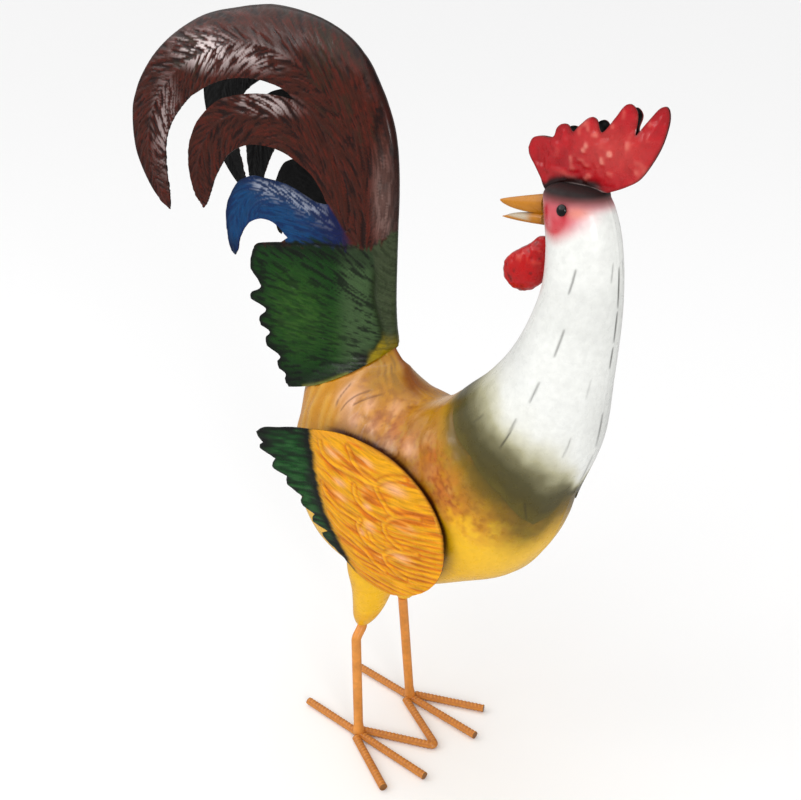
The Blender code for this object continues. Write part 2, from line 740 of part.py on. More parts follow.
def make_rod(name, path, radius, widths, sides, material, home):
    """A rod along a path; widths are its thickness at each point as a share of the full one."""
    curve = bpy.data.curves.new(name, "CURVE")
    curve.dimensions = "3D"
    # A rod that lies flat keeps one of its flats underneath.
    curve.twist_mode = "Z_UP" if path[0][2] == path[-1][2] else "MINIMUM"
    curve.bevel_depth = radius * MM
    curve.bevel_resolution = sides // 2 - 2
    curve.use_fill_caps = True
    spline = curve.splines.new("POLY")
    spline.points.add(len(path) - 1)
    for point, place, width in zip(spline.points, path, widths):
        point.co = (*(float(c) * MM for c in place), 1)
        point.radius = width
        point.tilt = math.pi / sides
    curve.materials.append(material)
    rod = bpy.data.objects.new(name, curve)
    home.objects.link(rod)
    return rod


def toe_height():
    """Height of a toe's axis above the ground when one of its flats lies on it."""
    return TOE_RADIUS * math.cos(math.pi / TOE_SIDES)


def make_leg(side, material, home):
    """A rod from the weld on the toes up to just under the thigh; the right one has a kink."""
    tip_x, tip_y, tip_z, _ = THIGH_SECTIONS[0]
    foot = np.array([0, side * FOOT_HALF_SPACING, toe_height() + LEG_CLEARANCE])
    tip = np.array([tip_x, side * tip_y, tip_z - LEG_CLEARANCE])
    upper = [tip]
    if side < 0:
        upper = [np.array(RIGHT_LEG_BEND), tip - np.array([0, 0, LEG_TOP_RUN]), tip]
    aim = (upper[0] - foot) / np.linalg.norm(upper[0] - foot)
    path = [foot, foot + aim * WELD_HEIGHT * 0.35, foot + aim * WELD_HEIGHT, *upper]
    weld = WELD_RADIUS / LEG_RADIUS
    widths = [weld, weld * 0.94] + [1.0] * (len(path) - 2)
    name = "leg_right" if side < 0 else "leg_left"
    return make_rod(name, path, LEG_RADIUS, widths, LEG_SIDES, material, home)


def make_toes(side, material, home):
    name = "right" if side < 0 else "left"
    y = side * FOOT_HALF_SPACING
    path = [(-BACK_TOE, y, 0), (MIDDLE_TOE, y, 0)]
    make_rod("toe_rod_" + name, path, TOE_RADIUS, (1, 1), TOE_SIDES, material, home)
    end_x, end_out = OUTER_TOE_END
    lean = math.atan2(end_out - 2 * TOE_RADIUS, end_x - OUTER_TOE_START)
    beside = TOE_RADIUS + TOE_RADIUS * math.cos(lean) + GAP
    path = [(OUTER_TOE_START, y + side * beside, 0), (end_x, y + side * end_out, 0)]
    make_rod("outer_toe_" + name, path, TOE_RADIUS, (1, 1), TOE_SIDES, material, home)


def make_inner_toes(material, home):
    reach = INNER_TOE_TIP - INNER_TOE_START
    lean = math.atan2(FOOT_HALF_SPACING - 2 * TOE_RADIUS, reach)
    beside = TOE_RADIUS + TOE_RADIUS * math.cos(lean) + GAP
    start = np.array([INNER_TOE_START, FOOT_HALF_SPACING - beside, 0.0])
    corner = np.array([INNER_TOE_TIP, 0.0, 0.0])
    aim = (corner - start) / np.linalg.norm(corner - start)
    bend = corner - aim * INNER_TOE_ROUNDING
    crest = np.array([(bend[0] + corner[0]) / 2, 0.0, 0.0])
    other_bend = np.array([bend[0], -bend[1], 0.0])
    other_start = np.array([start[0], -start[1], 0.0])
    path = [start, bend, crest, other_bend, other_start]
    widths = [1.0] * len(path)
    return make_rod("inner_toe_loop", path, TOE_RADIUS, widths, TOE_SIDES, material, home)


def place_figure(home, helpers):
    """Lays the toes on the ground and centres the figure's box over the origin along X."""
    meshes = [thing.data for thing in home.objects if thing.type == "MESH"]
    low = min(v.co.x for mesh in meshes for v in mesh.vertices)
    high = max(v.co.x for mesh in meshes for v in mesh.vertices)
    for thing in list(home.objects) + list(helpers.objects):
        thing.location.x = -(low + high) / 2
        thing.location.z = toe_height() * MM


def main():
    clear_scene()
    home = bpy.data.collections.new("metal_rooster")
    helpers = bpy.data.collections.new("helpers")
    bpy.context.scene.collection.children.link(home)
    bpy.context.scene.collection.children.link(helpers)
    helpers.hide_render = True
    yellow = paint("yellow_enamel", (0.72, 0.37, 0.03), 0.1, 0.3)
    white = paint("white_enamel", (0.8, 0.79, 0.76), 0.0, 0.3)
    red = paint("red_enamel", (0.55, 0.02, 0.03), 0.1, 0.25)
    maroon = paint("maroon_enamel", (0.1, 0.025, 0.02), 0.2, 0.35)
    orange = paint("orange_enamel", (0.75, 0.36, 0.04), 0.1, 0.35)
    ochre = paint("ochre_enamel", (0.6, 0.27, 0.05), 0.0, 0.35)
    copper = paint("copper_enamel", (0.58, 0.2, 0.05), 0.3, 0.4)
    black = paint("black_enamel", (0.01, 0.01, 0.01), 0.0, 0.08)
    make_body(yellow, home, helpers)
    make_hackle(white, home)
    for side in (-1, 1):
        make_tail(side, maroon, home)
        make_wing(side, orange, home)
        make_comb(side, red, home)
        make_eye(side, black, home)
        make_leg(side, copper, home)
        make_toes(side, copper, home)
    make_beak("beak_upper", UPPER_BEAK, ochre, home)
    make_beak("beak_lower", LOWER_BEAK, ochre, home)
    make_wattle(red, home)
    make_inner_toes(copper, home)
    place_figure(home, helpers)


main()
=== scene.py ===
"""Looks of the painted sheet-metal rooster: dense embossed sheets and airbrushed enamel.

Sizes are in millimetres in the figure's own coordinates, the same as its solids were built in:
x towards the chest, y to the bird's left, heights from the axes of the toes.
"""

import math

import bpy
import numpy as np
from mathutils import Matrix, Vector
from mathutils.geometry import delaunay_2d_cdt
from mathutils.kdtree import KDTree


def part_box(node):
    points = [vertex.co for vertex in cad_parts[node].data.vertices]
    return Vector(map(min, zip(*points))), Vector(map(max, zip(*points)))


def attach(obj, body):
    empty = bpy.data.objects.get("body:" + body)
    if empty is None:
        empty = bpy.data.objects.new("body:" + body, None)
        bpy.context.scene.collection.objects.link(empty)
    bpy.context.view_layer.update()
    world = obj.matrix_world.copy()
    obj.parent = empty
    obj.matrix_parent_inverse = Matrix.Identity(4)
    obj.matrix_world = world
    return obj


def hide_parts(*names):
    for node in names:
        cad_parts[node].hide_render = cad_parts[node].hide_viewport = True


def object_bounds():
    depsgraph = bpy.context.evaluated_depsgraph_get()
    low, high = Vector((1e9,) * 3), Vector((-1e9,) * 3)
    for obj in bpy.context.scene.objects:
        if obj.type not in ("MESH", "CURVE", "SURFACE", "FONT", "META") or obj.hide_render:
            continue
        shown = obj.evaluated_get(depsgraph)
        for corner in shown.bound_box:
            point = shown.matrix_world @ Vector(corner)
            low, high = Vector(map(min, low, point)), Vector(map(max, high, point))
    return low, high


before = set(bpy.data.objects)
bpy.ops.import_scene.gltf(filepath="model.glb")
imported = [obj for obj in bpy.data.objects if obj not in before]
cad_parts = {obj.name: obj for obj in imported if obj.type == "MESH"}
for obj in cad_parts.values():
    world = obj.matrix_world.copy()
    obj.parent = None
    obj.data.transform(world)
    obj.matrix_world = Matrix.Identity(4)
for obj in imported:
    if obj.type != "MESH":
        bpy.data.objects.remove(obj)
cad_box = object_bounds()

MM = 0.001
GAP = 0.3

# Body and neck, as cross-sections from the tail root round the belly to the crown of the head:
# inner point x and z (on the hollow of the back), outer point x and z, half width.
SECTIONS = [
    (8, 323, -48, 330, 4.4),
    (13, 302, -63, 300, 7.8),
    (21, 291, -69, 272, 12.8),
    (25, 283, -73, 244, 25),
    (31, 277, -73, 206, 36.5),
    (39, 274, -64, 169, 44.5),
    (46, 274, -40, 143, 49),
    (52, 276, -4, 133, 50),
    (55, 278, 41, 139.5, 50),
    (57, 279, 84, 160, 48),
    (61, 281, 115.5, 179, 46.5),
    (68.5, 287, 137, 208, 43),
    (78.5, 296, 150, 243, 39),
    (92, 308, 163, 279, 35),
    (107, 326, 167, 317, 29),
    (118, 346, 169.5, 352, 24),
    (125, 367, 169, 378, 20.3),
    (126, 388, 166, 398, 18.6),
    (123.5, 405, 161.5, 411.5, 17.3),
    (122, 413.5, 158, 418, 15.8),
]
TAIL_LAP_FRONT = 1.75
TAIL_LAP_BACK = 3.3
TAIL_LAP_DEPTH = 2.7
BODY_END = 13.0

# Hackle: the white shell of the neck, with pointed feathers along its lower edge.
HACKLE_WALL = 1.2
CAPE_POINTS = 11
CROWN_RISE = 8.6
CROWN_POWER = 3.2

# Thighs: round cones below the belly, as centre x, y, z and radius from the tip up.
THIGH_SECTIONS = [
    (-1.0, 21, 94, 4.0),
    (0.6, 21.5, 97.5, 6.0),
    (3.6, 22, 105, 9.0),
    (8.2, 23, 117, 11.6),
    (12.5, 24.5, 132, 14.2),
    (15, 26, 150, 17.5),
    (16, 27, 165, 17.5),
]

# Tail: seam along the front and over the top, then the free outer edge of the big feather.
TAIL_SEAM = [
    (14, 301), (12, 312), (11.5, 323), (11.5, 336), (12, 352), (13, 375), (14, 395), (14, 410),
    (13, 425), (10, 438), (5, 450), (-2, 462), (-10, 473), (-22, 483), (-36, 490), (-52, 495),
    (-72, 498.5), (-92, 500),
]
BIG_FEATHER_OUTER = [
    (-107, 499), (-121, 497), (-136, 494.5), (-149, 490.5), (-164, 483), (-177, 474),
    (-189, 462.5), (-200, 447.5), (-205.5, 434), (-206.5, 422.5), (-205, 409), (-201, 397),
    (-191, 382), (-179.5, 371),
]
BIG_FEATHER_TIP = (-167.5, 365)
BIG_FEATHER_INNER = [
    (-168, 374.5), (-170.5, 388.5), (-172, 400.5), (-171, 413), (-165, 425.5), (-153, 438.5),
    (-140, 446), (-124, 452.5), (-109, 456), (-91, 457), (-76, 455), (-66, 452),
]
FIRST_CROTCH = (-59, 447)
SECOND_FEATHER_OUTER = [
    (-72, 448.5), (-84, 448.5), (-97, 447.5), (-111, 445), (-123, 441.5), (-133.5, 435),
    (-143, 427), (-149, 419), (-153.5, 409), (-155, 397), (-154, 386), (-151, 376),
]
SECOND_FEATHER_TIP = (-143.5, 368)
SECOND_FEATHER_INNER = [
    (-139, 374), (-135.5, 381.5), (-132, 388.5), (-127, 396), (-121.5, 403), (-115.5, 408.5),
    (-106, 413.3), (-96, 415.8), (-84, 416.3), (-74, 415), (-65, 412.3), (-56, 408), (-47, 402.5),
    (-40, 395),
]
SECOND_CROTCH = (-35, 385.5)
BLUE_FEATHER_OUTER = [
    (-44, 386), (-54, 389.5), (-64, 393), (-74, 394.8), (-85, 395.5), (-96, 396), (-104, 393.5),
    (-111, 389.5), (-118, 380.5), (-121.5, 373), (-123.2, 364), (-122.7, 350), (-120.5, 342),
]
BLUE_FEATHER_TIP = (-116.7, 339.5)
BLUE_FEATHER_INNER = [
    (-114, 344), (-112, 351), (-108, 358), (-103, 363.5), (-96, 367), (-89, 368.5), (-82, 367.5),
    (-76, 365),
]
THIRD_CROTCH = (-69, 359)
FLAP_TOP_EDGE = [(-75, 355), (-84, 353.5), (-92, 352)]
FLAP_LOBES = [
    ((-98, 349.5), (-103, 340), (-103.5, 332)),
    ((-94.5, 321.5), (-103.5, 315.5), (-105, 310.5)),
    ((-91, 306), (-97.5, 299), (-97, 293)),
    ((-88.5, 290), (-93, 284.5), (-92, 279)),
    ((-80.5, 274), (-83.5, 269), (-82, 264)),
    ((-76, 261.5), (-77.5, 257), (-74, 252.5)),
]
BLUE_FEATHER_LIFT = 6.0
FLAP_BOTTOM_EDGE = [(-60, 256.3), (-46, 262), (-32, 269), (-17, 277.5), (-4.5, 286), (5, 293)]
TAIL_FRONT_HALF_WIDTH = 8.0
TAIL_SPREAD = 0.115
TAIL_TIP_SPREAD = 0.12
TAIL_TIP_TOP = 440.0
TAIL_TIP_FRONT = -152.0
TAIL_ROUNDING = 2.2
TAIL_SHEET = 1.0
TAIL_STEP = 1.05

# Wing: a round shield with a long point behind it and a jagged lower back edge.
WING_TOP_EDGE = [
    (-66, 235), (-52, 239.5), (-38, 244), (-24, 247.5), (-10, 251), (4, 253.5), (14, 254.5),
]
WING_DISC_CENTRE = (44, 206)
WING_DISC_RADIUS = 52.0
WING_LOBES = [
    ((-73, 229.8), (-70.7, 225.8), (-66.8, 223.7)),
    ((-70, 221), (-69, 217.9), (-54.6, 215.5)),
    ((-57.5, 211.3), (-57, 207.4), (-43.5, 206)),
    ((-44.5, 203), (-42.6, 199.3), (-28.8, 195.9)),
    ((-30.6, 192.5), (-28.8, 189.3), (-17.5, 187)),
    ((-20, 182.8), (-17.5, 180), (-4, 179.6)),
    ((-10.5, 175.4), (-8.5, 172.2), (2.5, 168.6)),
]
WING_BACK_END = (14, 162.5)
WING_RIM_OFFSET = 48.2
WING_DOME = 3.9
WING_SHEET = 1.0
WING_STEP = 0.9
FAR_WING_DROP = 6.5

# Comb: five rounded points, in two sheets that open towards the top.
COMB_BASE_HALF_GAP = 0.7
COMB_BULGE = 1.0
COMB_SHEET = 0.9

# Beak: sections from the face to the tip, as x, bottom z, top z, half width.
UPPER_BEAK = [
    (121.0, 404.6, 415.2, 4.6),
    (115.0, 403.6, 413.8, 4.1),
    (107.0, 403.4, 411.9, 3.2),
    (99.0, 404.0, 409.9, 2.2),
    (93.5, 405.2, 408.4, 1.3),
    (90.8, 406.4, 407.5, 0.5),
]
LOWER_BEAK = [
    (121.0, 398.2, 403.3, 4.0),
    (113.0, 397.8, 402.7, 3.5),
    (104.0, 397.6, 401.3, 2.6),
    (97.0, 397.7, 399.4, 1.5),
    (92.8, 398.0, 398.5, 0.5),
]

# Wattle: sections from the top down, in the same form as those of the body.
WATTLE_SECTIONS = [
    (118, 391.5, 122.5, 392, 1.8),
    (112, 386.5, 124, 388, 4.0),
    (103, 381, 124, 383, 6.2),
    (97, 375, 124, 377, 7.6),
    (95.2, 369, 123, 371, 8.0),
    (97.5, 363.5, 120.5, 365, 6.8),
    (102.5, 360.2, 115, 361, 4.2),
]

# Eye: a low dome on each side of the head.
EYE_SECTION = 18.45
EYE_TURN = 266.0
EYE_STAND_OFF = 0.45
EYE_WIDTH = 5.6
EYE_HEIGHT = 6.2
EYE_BULGE = 1.9
EYE_SHIFT = (-2.8, -0.2)
EYE_SWELL = 1.12

# Legs and toes.
FOOT_HALF_SPACING = 28.0
LEG_RADIUS = 3.25
RIGHT_LEG_BEND = (-0.6, -28.0, 84.5)
LEG_TOP_RUN = 2.5
WELD_HEIGHT = 7.0
WELD_RADII = [4.3, 4.0]
LEG_SWELL = 1.05
TOE_RADIUS = 2.9
RIB = 0.3
TOE_SIDES = 12
MIDDLE_TOE = 64.7
BACK_TOE = 53.5
OUTER_TOE_START = 4.5
OUTER_TOE_END = (51.0, 27.5)
INNER_TOE_START = 3.0
INNER_TOE_TIP = 51.3
INNER_TOE_ROUNDING = 4.0


def smooth_values(rows, places):
    """Rows of numbers interpolated by a curve through them, at fractional row numbers."""
    rows = np.asarray(rows, float)
    places = np.atleast_1d(np.asarray(places, float))
    low = np.clip(np.floor(places).astype(int), 0, len(rows) - 2)
    part = (places - low)[:, None]
    a = rows[np.maximum(low - 1, 0)]
    b = rows[low]
    c = rows[low + 1]
    d = rows[np.minimum(low + 2, len(rows) - 1)]
    a = np.where((low == 0)[:, None], 2 * b - c, a)
    d = np.where((low == len(rows) - 2)[:, None], 2 * c - b, d)
    slope = c - a
    square = 2 * a - 5 * b + 4 * c - d
    cube = 3 * b - 3 * c + d - a
    return 0.5 * (2 * b + slope * part + square * part**2 + cube * part**3)


def smooth_line(points, per_span):
    count = (len(points) - 1) * per_span + 1
    return smooth_values(points, np.linspace(0, len(points) - 1, count))


def section_points(sections, places, turns, inset=0.0):
    """Points on the loft at fractional section numbers; turns are radians from the outer point."""
    rows = smooth_values(sections, places)
    middle = (rows[:, 0:2] + rows[:, 2:4]) / 2
    half = (rows[:, 2:4] - rows[:, 0:2]) / 2
    reach = np.linalg.norm(half, axis=1)
    half = half * ((reach - inset) / reach)[:, None]
    width = rows[:, 4] - inset
    along = np.cos(turns)
    x = middle[:, 0] + half[:, 0] * along
    y = width * np.sin(turns)
    z = middle[:, 1] + half[:, 1] * along
    return np.stack([x, y, z], axis=1)


def turns_of(sides):
    return np.arange(sides) * 2 * math.pi / sides


def ease(value):
    value = np.clip(value, 0, 1)
    return value * value * (3 - 2 * value)


def distance_to_line(points, line):
    """Distance of each point from a polyline, and how far along the line the nearest point is."""
    points = np.asarray(points, float)
    best = np.full(len(points), 1e9)
    place = np.zeros(len(points))
    for k in range(len(line) - 1):
        a = line[k]
        step = line[k + 1] - a
        part = np.clip(((points - a) @ step) / (step @ step), 0, 1)
        apart = np.linalg.norm(points - a - part[:, None] * step, axis=1)
        closer = apart < best
        best[closer] = apart[closer]
        place[closer] = (k + part[closer]) / (len(line) - 1)
    return best, place


def from_edge(points, outline):
    """Distance of each point from a closed outline."""
    return distance_to_line(points, np.vstack([outline, outline[:1]]))[0]


def spaced(outline):
    """The outline without points that nearly fall together."""
    return outline[np.linalg.norm(outline - np.roll(outline, 1, axis=0), axis=1) > 0.2]


def bell(value):
    """1 at 0, falling off on both sides."""
    return np.exp(-(value**2))


def fill_outline(outline, inner_points):
    """Triangles that fill a closed outline, using the inner points too."""
    flat = [Vector((float(p[0]), float(p[1]))) for p in outline]
    count = len(flat)
    edges = [(k, (k + 1) % count) for k in range(count)]
    flat += [Vector((float(p[0]), float(p[1]))) for p in inner_points]
    verts, _, faces, _, _, _ = delaunay_2d_cdt(flat, edges, [list(range(count))], 1, 0.0001)
    return np.array([(v[0], v[1]) for v in verts]), [tuple(f) for f in faces]


def inside_outline(points, outline):
    points = np.asarray(points, float)
    inside = np.zeros(len(points), bool)
    for k in range(len(outline)):
        ax, az = outline[k]
        bx, bz = outline[(k + 1) % len(outline)]
        if az == bz:
            continue
        crosses = (points[:, 1] < az) != (points[:, 1] < bz)
        at = ax + (points[:, 1] - az) / (bz - az) * (bx - ax)
        inside ^= crosses & (points[:, 0] < at)
    return inside


def lattice(outline, step, margin):
    """Points of a triangular lattice inside the outline, at least the margin from its edge."""
    low = outline.min(axis=0)
    high = outline.max(axis=0)
    points = []
    for row in range(int((high[1] - low[1]) / (step * 0.866)) + 1):
        for column in range(int((high[0] - low[0]) / step) + 2):
            x = low[0] + (column + 0.5 * (row % 2)) * step
            points.append((x, low[1] + row * step * 0.866))
    points = np.array(points)
    points = points[inside_outline(points, outline)]
    return points[from_edge(points, outline) > margin]


def lifted(points, lift):
    """Points of the blue feather, raised more the nearer they are to its tip."""
    points = np.array(points, float)
    root_x = SECOND_CROTCH[0]
    share = np.clip((root_x - points[:, 0]) / (root_x - BLUE_FEATHER_TIP[0]), 0, 1)
    points[:, 1] += lift * ease(share)
    return points


def tail_spread(points):
    """Distance from the middle plane to the flat of a tail sheet, at points x, z."""
    back = np.maximum(0, -points[:, 0])
    low = np.maximum(0, TAIL_TIP_TOP - points[:, 1])
    free = ease((TAIL_TIP_FRONT - points[:, 0]) / 14)
    return TAIL_FRONT_HALF_WIDTH + TAIL_SPREAD * back + TAIL_TIP_SPREAD * low * free


def wing_depth(flat):
    """The wing is a shallow dome, highest over the middle of its shield."""
    cx, cz = WING_DISC_CENTRE
    apart = np.hypot((flat[:, 0] - cx) / 1.35, flat[:, 1] - cz) / WING_DISC_RADIUS
    return WING_RIM_OFFSET + WING_DOME * (1 - np.clip(apart, 0, 1) ** 2)


def eye_frame():
    """Middle, sideways, upward and outward directions of the right eye on the head."""
    turn = math.radians(EYE_TURN)
    offsets = ((0, 0), (0.02, 0), (0, 0.02))
    spots = [
        section_points(SECTIONS, [EYE_SECTION + u], np.array([turn + v]))[0] for u, v in offsets
    ]
    up = (spots[1] - spots[0]) / np.linalg.norm(spots[1] - spots[0])
    out = np.cross(spots[2] - spots[0], up)
    out /= -math.copysign(np.linalg.norm(out), out[1])
    return spots[0] + out * EYE_STAND_OFF, np.cross(out, up), up, out


# Where the figure stands in the frame.
TOE_HEIGHT = TOE_RADIUS * math.cos(math.pi / TOE_SIDES)
SHIFT = np.array([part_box("toe_rod_right")[1][0] - MIDDLE_TOE * MM, 0.0, TOE_HEIGHT * MM])


def linear(red, green, blue):
    """A colour given as 0 to 255 in sRGB, as linear light."""
    value = np.array([red, green, blue]) / 255
    light = np.where(value <= 0.04045, value / 12.92, ((value + 0.055) / 1.055) ** 2.4)
    return np.maximum(light - 0.014, 0.001)


def noise(points, size, seed=0):
    """Smooth random values from -1 to 1 that change over about the given size."""
    places = np.asarray(points, float) / size
    low = np.floor(places).astype(np.int64)
    part = places - low
    part = part * part * (3 - 2 * part)
    total = np.zeros(len(places))
    primes = (73856093, 19349663, 83492791)
    for corner in range(2 ** places.shape[1]):
        key = np.full(len(places), seed * 7919 + 101, np.int64)
        weight = np.ones(len(places))
        for axis in range(places.shape[1]):
            bit = (corner >> axis) & 1
            key ^= (low[:, axis] + bit) * primes[axis]
            weight *= part[:, axis] if bit else 1 - part[:, axis]
        key = (key ^ (key >> 13)) * 1274126177 & 0x7FFFFFFF
        key = (key ^ (key >> 16)) * 668265263 & 0x7FFFFFFF
        total += weight * ((key >> 7) & 0xFFFF) / 65535
    return total * 2 - 1


def lengths_along(line):
    """Distance from the start of a polyline to each of its points."""
    return np.concatenate([[0], np.cumsum(np.linalg.norm(np.diff(line, axis=0), axis=1))])


def resample(line, step):
    """Points about a step apart along a polyline, keeping both ends."""
    line = np.asarray(line, float)
    along = lengths_along(line)
    count = max(2, int(round(along[-1] / step)) + 1)
    places = np.linspace(0, along[-1], count)
    return np.stack([np.interp(places, along, line[:, k]) for k in range(line.shape[1])], axis=1)


def smoothed(rows, width):
    """Rows averaged with their neighbours over an odd width, with both ends kept."""
    reach = width // 2
    padded = np.vstack([2 * rows[:1] - rows[reach:0:-1], rows, 2 * rows[-1:] - rows[-2:-reach - 2:-1]])
    return np.stack([np.convolve(column, np.ones(width) / width, "valid") for column in padded.T], axis=1)


def smooth_run(points, step):
    """A smooth curve through given points, with a point at every step."""
    return resample(smooth_line(points, 12), step)


def flow(points, lines):
    """For each point: the nearest of the lines, the distance along it and the signed distance from it."""
    which = np.zeros(len(points), int)
    along = np.zeros(len(points))
    across = np.full(len(points), 1e9)
    for number, line in enumerate(lines):
        line = smooth_run(line, 3.0)
        lengths = lengths_along(line)
        apart, place = distance_to_line(points, line)
        k = np.clip((place * (len(line) - 1)).astype(int), 0, len(line) - 2)
        heading = line[k + 1] - line[k]
        offset = points - line[k]
        sign = np.sign(heading[:, 0] * offset[:, 1] - heading[:, 1] * offset[:, 0])
        reach = np.interp(place * (len(line) - 1), np.arange(len(line)), lengths)
        near = apart < np.abs(across)
        which[near] = number
        along[near] = reach[near]
        across[near] = (apart * np.where(sign == 0, 1, sign))[near]
    return which, along, across


def new_piece(node, points, faces, material, paint, strokes=None, matt=None):
    """A mesh that stands for the named solid; it stores its colours, stroke directions and matt places."""
    mesh = bpy.data.meshes.new("rooster_" + node)
    placed = np.clip(points * MM + SHIFT, cad_box[0], cad_box[1])
    mesh.from_pydata(placed.tolist(), [], faces)
    stored = (
        ("paint", "FLOAT_COLOR", "color", np.column_stack([paint, np.ones(len(paint))])),
        ("flow", "FLOAT_VECTOR", "vector", points * 0.3 if strokes is None else strokes),
        ("matt", "FLOAT", "value", np.zeros(len(points)) if matt is None else matt),
    )
    for label, kind, field, data in stored:
        data = np.asarray(data, np.float32).ravel()
        mesh.attributes.new(label, kind, "POINT").data.foreach_set(field, data)
    mesh.validate()
    mesh.shade_smooth()
    mesh.set_sharp_from_angle(angle=math.radians(50))
    mesh.materials.append(material)
    piece = bpy.data.objects.new("rooster_" + node, mesh)
    bpy.context.scene.collection.objects.link(piece)
    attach(piece, "root")
    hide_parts(node)


def mixed(first, second, share):
    """Paint with a share of it covered by another, or by one colour as linear() takes it."""
    if isinstance(second, tuple):
        second = linear(*second)
    share = np.clip(np.asarray(share), 0, 1)[:, None]
    return first * (1 - share) + second * share


def coats(paint, *layers):
    """Paint with more coats over it, each a colour and the share of it that covers."""
    for colour, share in layers:
        paint = mixed(paint, colour, share)
    return paint


def painted(count, colour):
    return np.tile(linear(*colour), (count, 1))


def spot(points, centre, reach):
    """1 at the centre, fading to 0 at the reach; the reach may differ along each axis."""
    return 1 - ease(np.linalg.norm((points - np.array(centre)) / np.array(reach), axis=1))


def beside(points, line, width):
    """1 on a line drawn through given points, falling off over the width."""
    return bell(distance_to_line(points, smooth_line(line, 4))[0] / width)


def woven(along, over, seed):
    """Noise with its own scale along and across."""
    return noise(np.stack([along, over], axis=1), 1.0, seed)


def x_at(z, line):
    """Where a line drawn from the top down stands at each height."""
    x, heights = zip(*line[::-1])
    return np.interp(z, heights, x)


def strokes_of(along, over, length, pitch, seed):
    """Brush strokes: noise drawn out along one direction, from -1 to 1."""
    coarse = woven(along / length, over / pitch, seed)
    fine = woven(along / length * 1.7, over / pitch * 2.1, seed + 1)
    return (coarse + 0.55 * fine) / 1.2


def ramp(value, stops):
    """Colours blended between stops, each a value and a colour."""
    places = [place for place, _ in stops]
    colours = [linear(*colour) for _, colour in stops]
    return np.stack([np.interp(value, places, [colour[k] for colour in colours]) for k in range(3)], axis=1)


# Paints.


def enamel(name, roughness=0.3, coat=0.15, stroke=0.35, bump=0.12, peel=0.05, spread=0.14, specular=0.34):
    """Glossy enamel whose colour and matt places are stored on the mesh, with strokes along the flow."""
    material = bpy.data.materials.new(name)
    material.use_nodes = True
    nodes = material.node_tree.nodes
    links = material.node_tree.links
    shader = nodes["Principled BSDF"]

    def stored(label):
        node = nodes.new("ShaderNodeAttribute")
        node.attribute_name = label
        return node

    def scaled(source, low, high, first, last):
        node = nodes.new("ShaderNodeMapRange")
        links.new(source, node.inputs["Value"])
        for label, value in (("From Min", low), ("From Max", high), ("To Min", first), ("To Max", last)):
            node.inputs[label].default_value = value
        return node.outputs["Result"]

    def noisy(source, scale, detail):
        node = nodes.new("ShaderNodeTexNoise")
        links.new(source, node.inputs["Vector"])
        node.inputs["Scale"].default_value = scale
        node.inputs["Detail"].default_value = detail
        return node.outputs["Fac"]

    matt = stored("matt").outputs["Fac"]
    fine = noisy(stored("flow").outputs["Vector"], 1.0, 3.0)
    wide = noisy(nodes.new("ShaderNodeTexCoord").outputs["Object"], 220.0, 2.0)
    tone = nodes.new("ShaderNodeVectorMath")
    tone.operation = "SCALE"
    links.new(stored("paint").outputs["Color"], tone.inputs[0])
    links.new(scaled(fine, 0.3, 0.7, 1 - stroke, 1 + stroke), tone.inputs["Scale"])
    links.new(tone.outputs["Vector"], shader.inputs["Base Color"])
    links.new(scaled(matt, 0.0, 1.0, coat, 0.0), shader.inputs["Coat Weight"])
    shader.inputs["Specular IOR Level"].default_value = specular
    shader.inputs["Coat Roughness"].default_value = 0.12
    uneven = nodes.new("ShaderNodeMath")
    uneven.operation = "ADD"
    links.new(scaled(wide, 0.3, 0.7, roughness - spread / 2, roughness + spread / 2), uneven.inputs[0])
    links.new(scaled(matt, 0.0, 1.0, 0.0, 0.35), uneven.inputs[1])
    links.new(uneven.outputs["Value"], shader.inputs["Roughness"])
    normal = None
    for height, strength in ((wide, peel), (fine, bump)):
        node = nodes.new("ShaderNodeBump")
        node.inputs["Distance"].default_value = 0.001
        node.inputs["Strength"].default_value = strength
        links.new(height, node.inputs["Height"])
        if normal:
            links.new(normal, node.inputs["Normal"])
        normal = node.outputs["Normal"]
    links.new(normal, shader.inputs["Normal"])
    return material


MAROON = (68, 41, 36)
MAROON_RED = (88, 42, 36)
MAROON_DARK = (38, 24, 23)
MAUVE = (226, 210, 208)
OLIVE = (58, 52, 42)
INSIDE = (24, 28, 33)
BLUE = (0, 66, 106)
NAVY = (20, 34, 70)
GREEN = (36, 64, 34)
GREEN_LIGHT = (60, 94, 42)
GREEN_GREY = (72, 92, 62)
GREEN_DARK = (20, 34, 24)
LIP = (126, 128, 60)
YELLOW = (228, 168, 18)
YELLOW_DEEP = (212, 132, 24)
BRIGHT = (240, 184, 8)
OLIVE_YELLOW = (142, 122, 32)
SMOKE = (74, 70, 50)
WHITE = (230, 231, 227)
RED = (178, 38, 44)
COPPER = (222, 146, 70)
OCHRE = (190, 124, 42)
BLACK = (16, 14, 14)


# Lofted pieces.


def grid_faces(rings, sides):
    k = np.arange(rings - 1)[:, None] * sides
    near = (k + np.arange(sides)[None, :]).ravel()
    far = (k + (np.arange(sides)[None, :] + 1) % sides).ravel()
    return np.stack([near, far, far + sides, near + sides], axis=1)


def grid_normals(points, rings, sides):
    """Normals of a wrapped grid of points, pointing away from its middle line."""
    grid = points.reshape(rings, sides, 3)
    across = np.roll(grid, -1, axis=1) - np.roll(grid, 1, axis=1)
    along = np.gradient(grid, axis=0)
    normal = np.cross(across, along)
    normal /= np.linalg.norm(normal, axis=2)[:, :, None] + 1e-12
    middle = grid.mean(axis=1, keepdims=True)
    flip = np.sign(((grid - middle) * normal).sum(axis=(1, 2)))
    return (normal * flip[:, None, None]).reshape(-1, 3)


def loft_grid(first, last, rings, sides):
    turns = turns_of(sides)
    places = np.repeat(np.linspace(first, last, rings), sides)
    return places, np.tile(turns, rings)


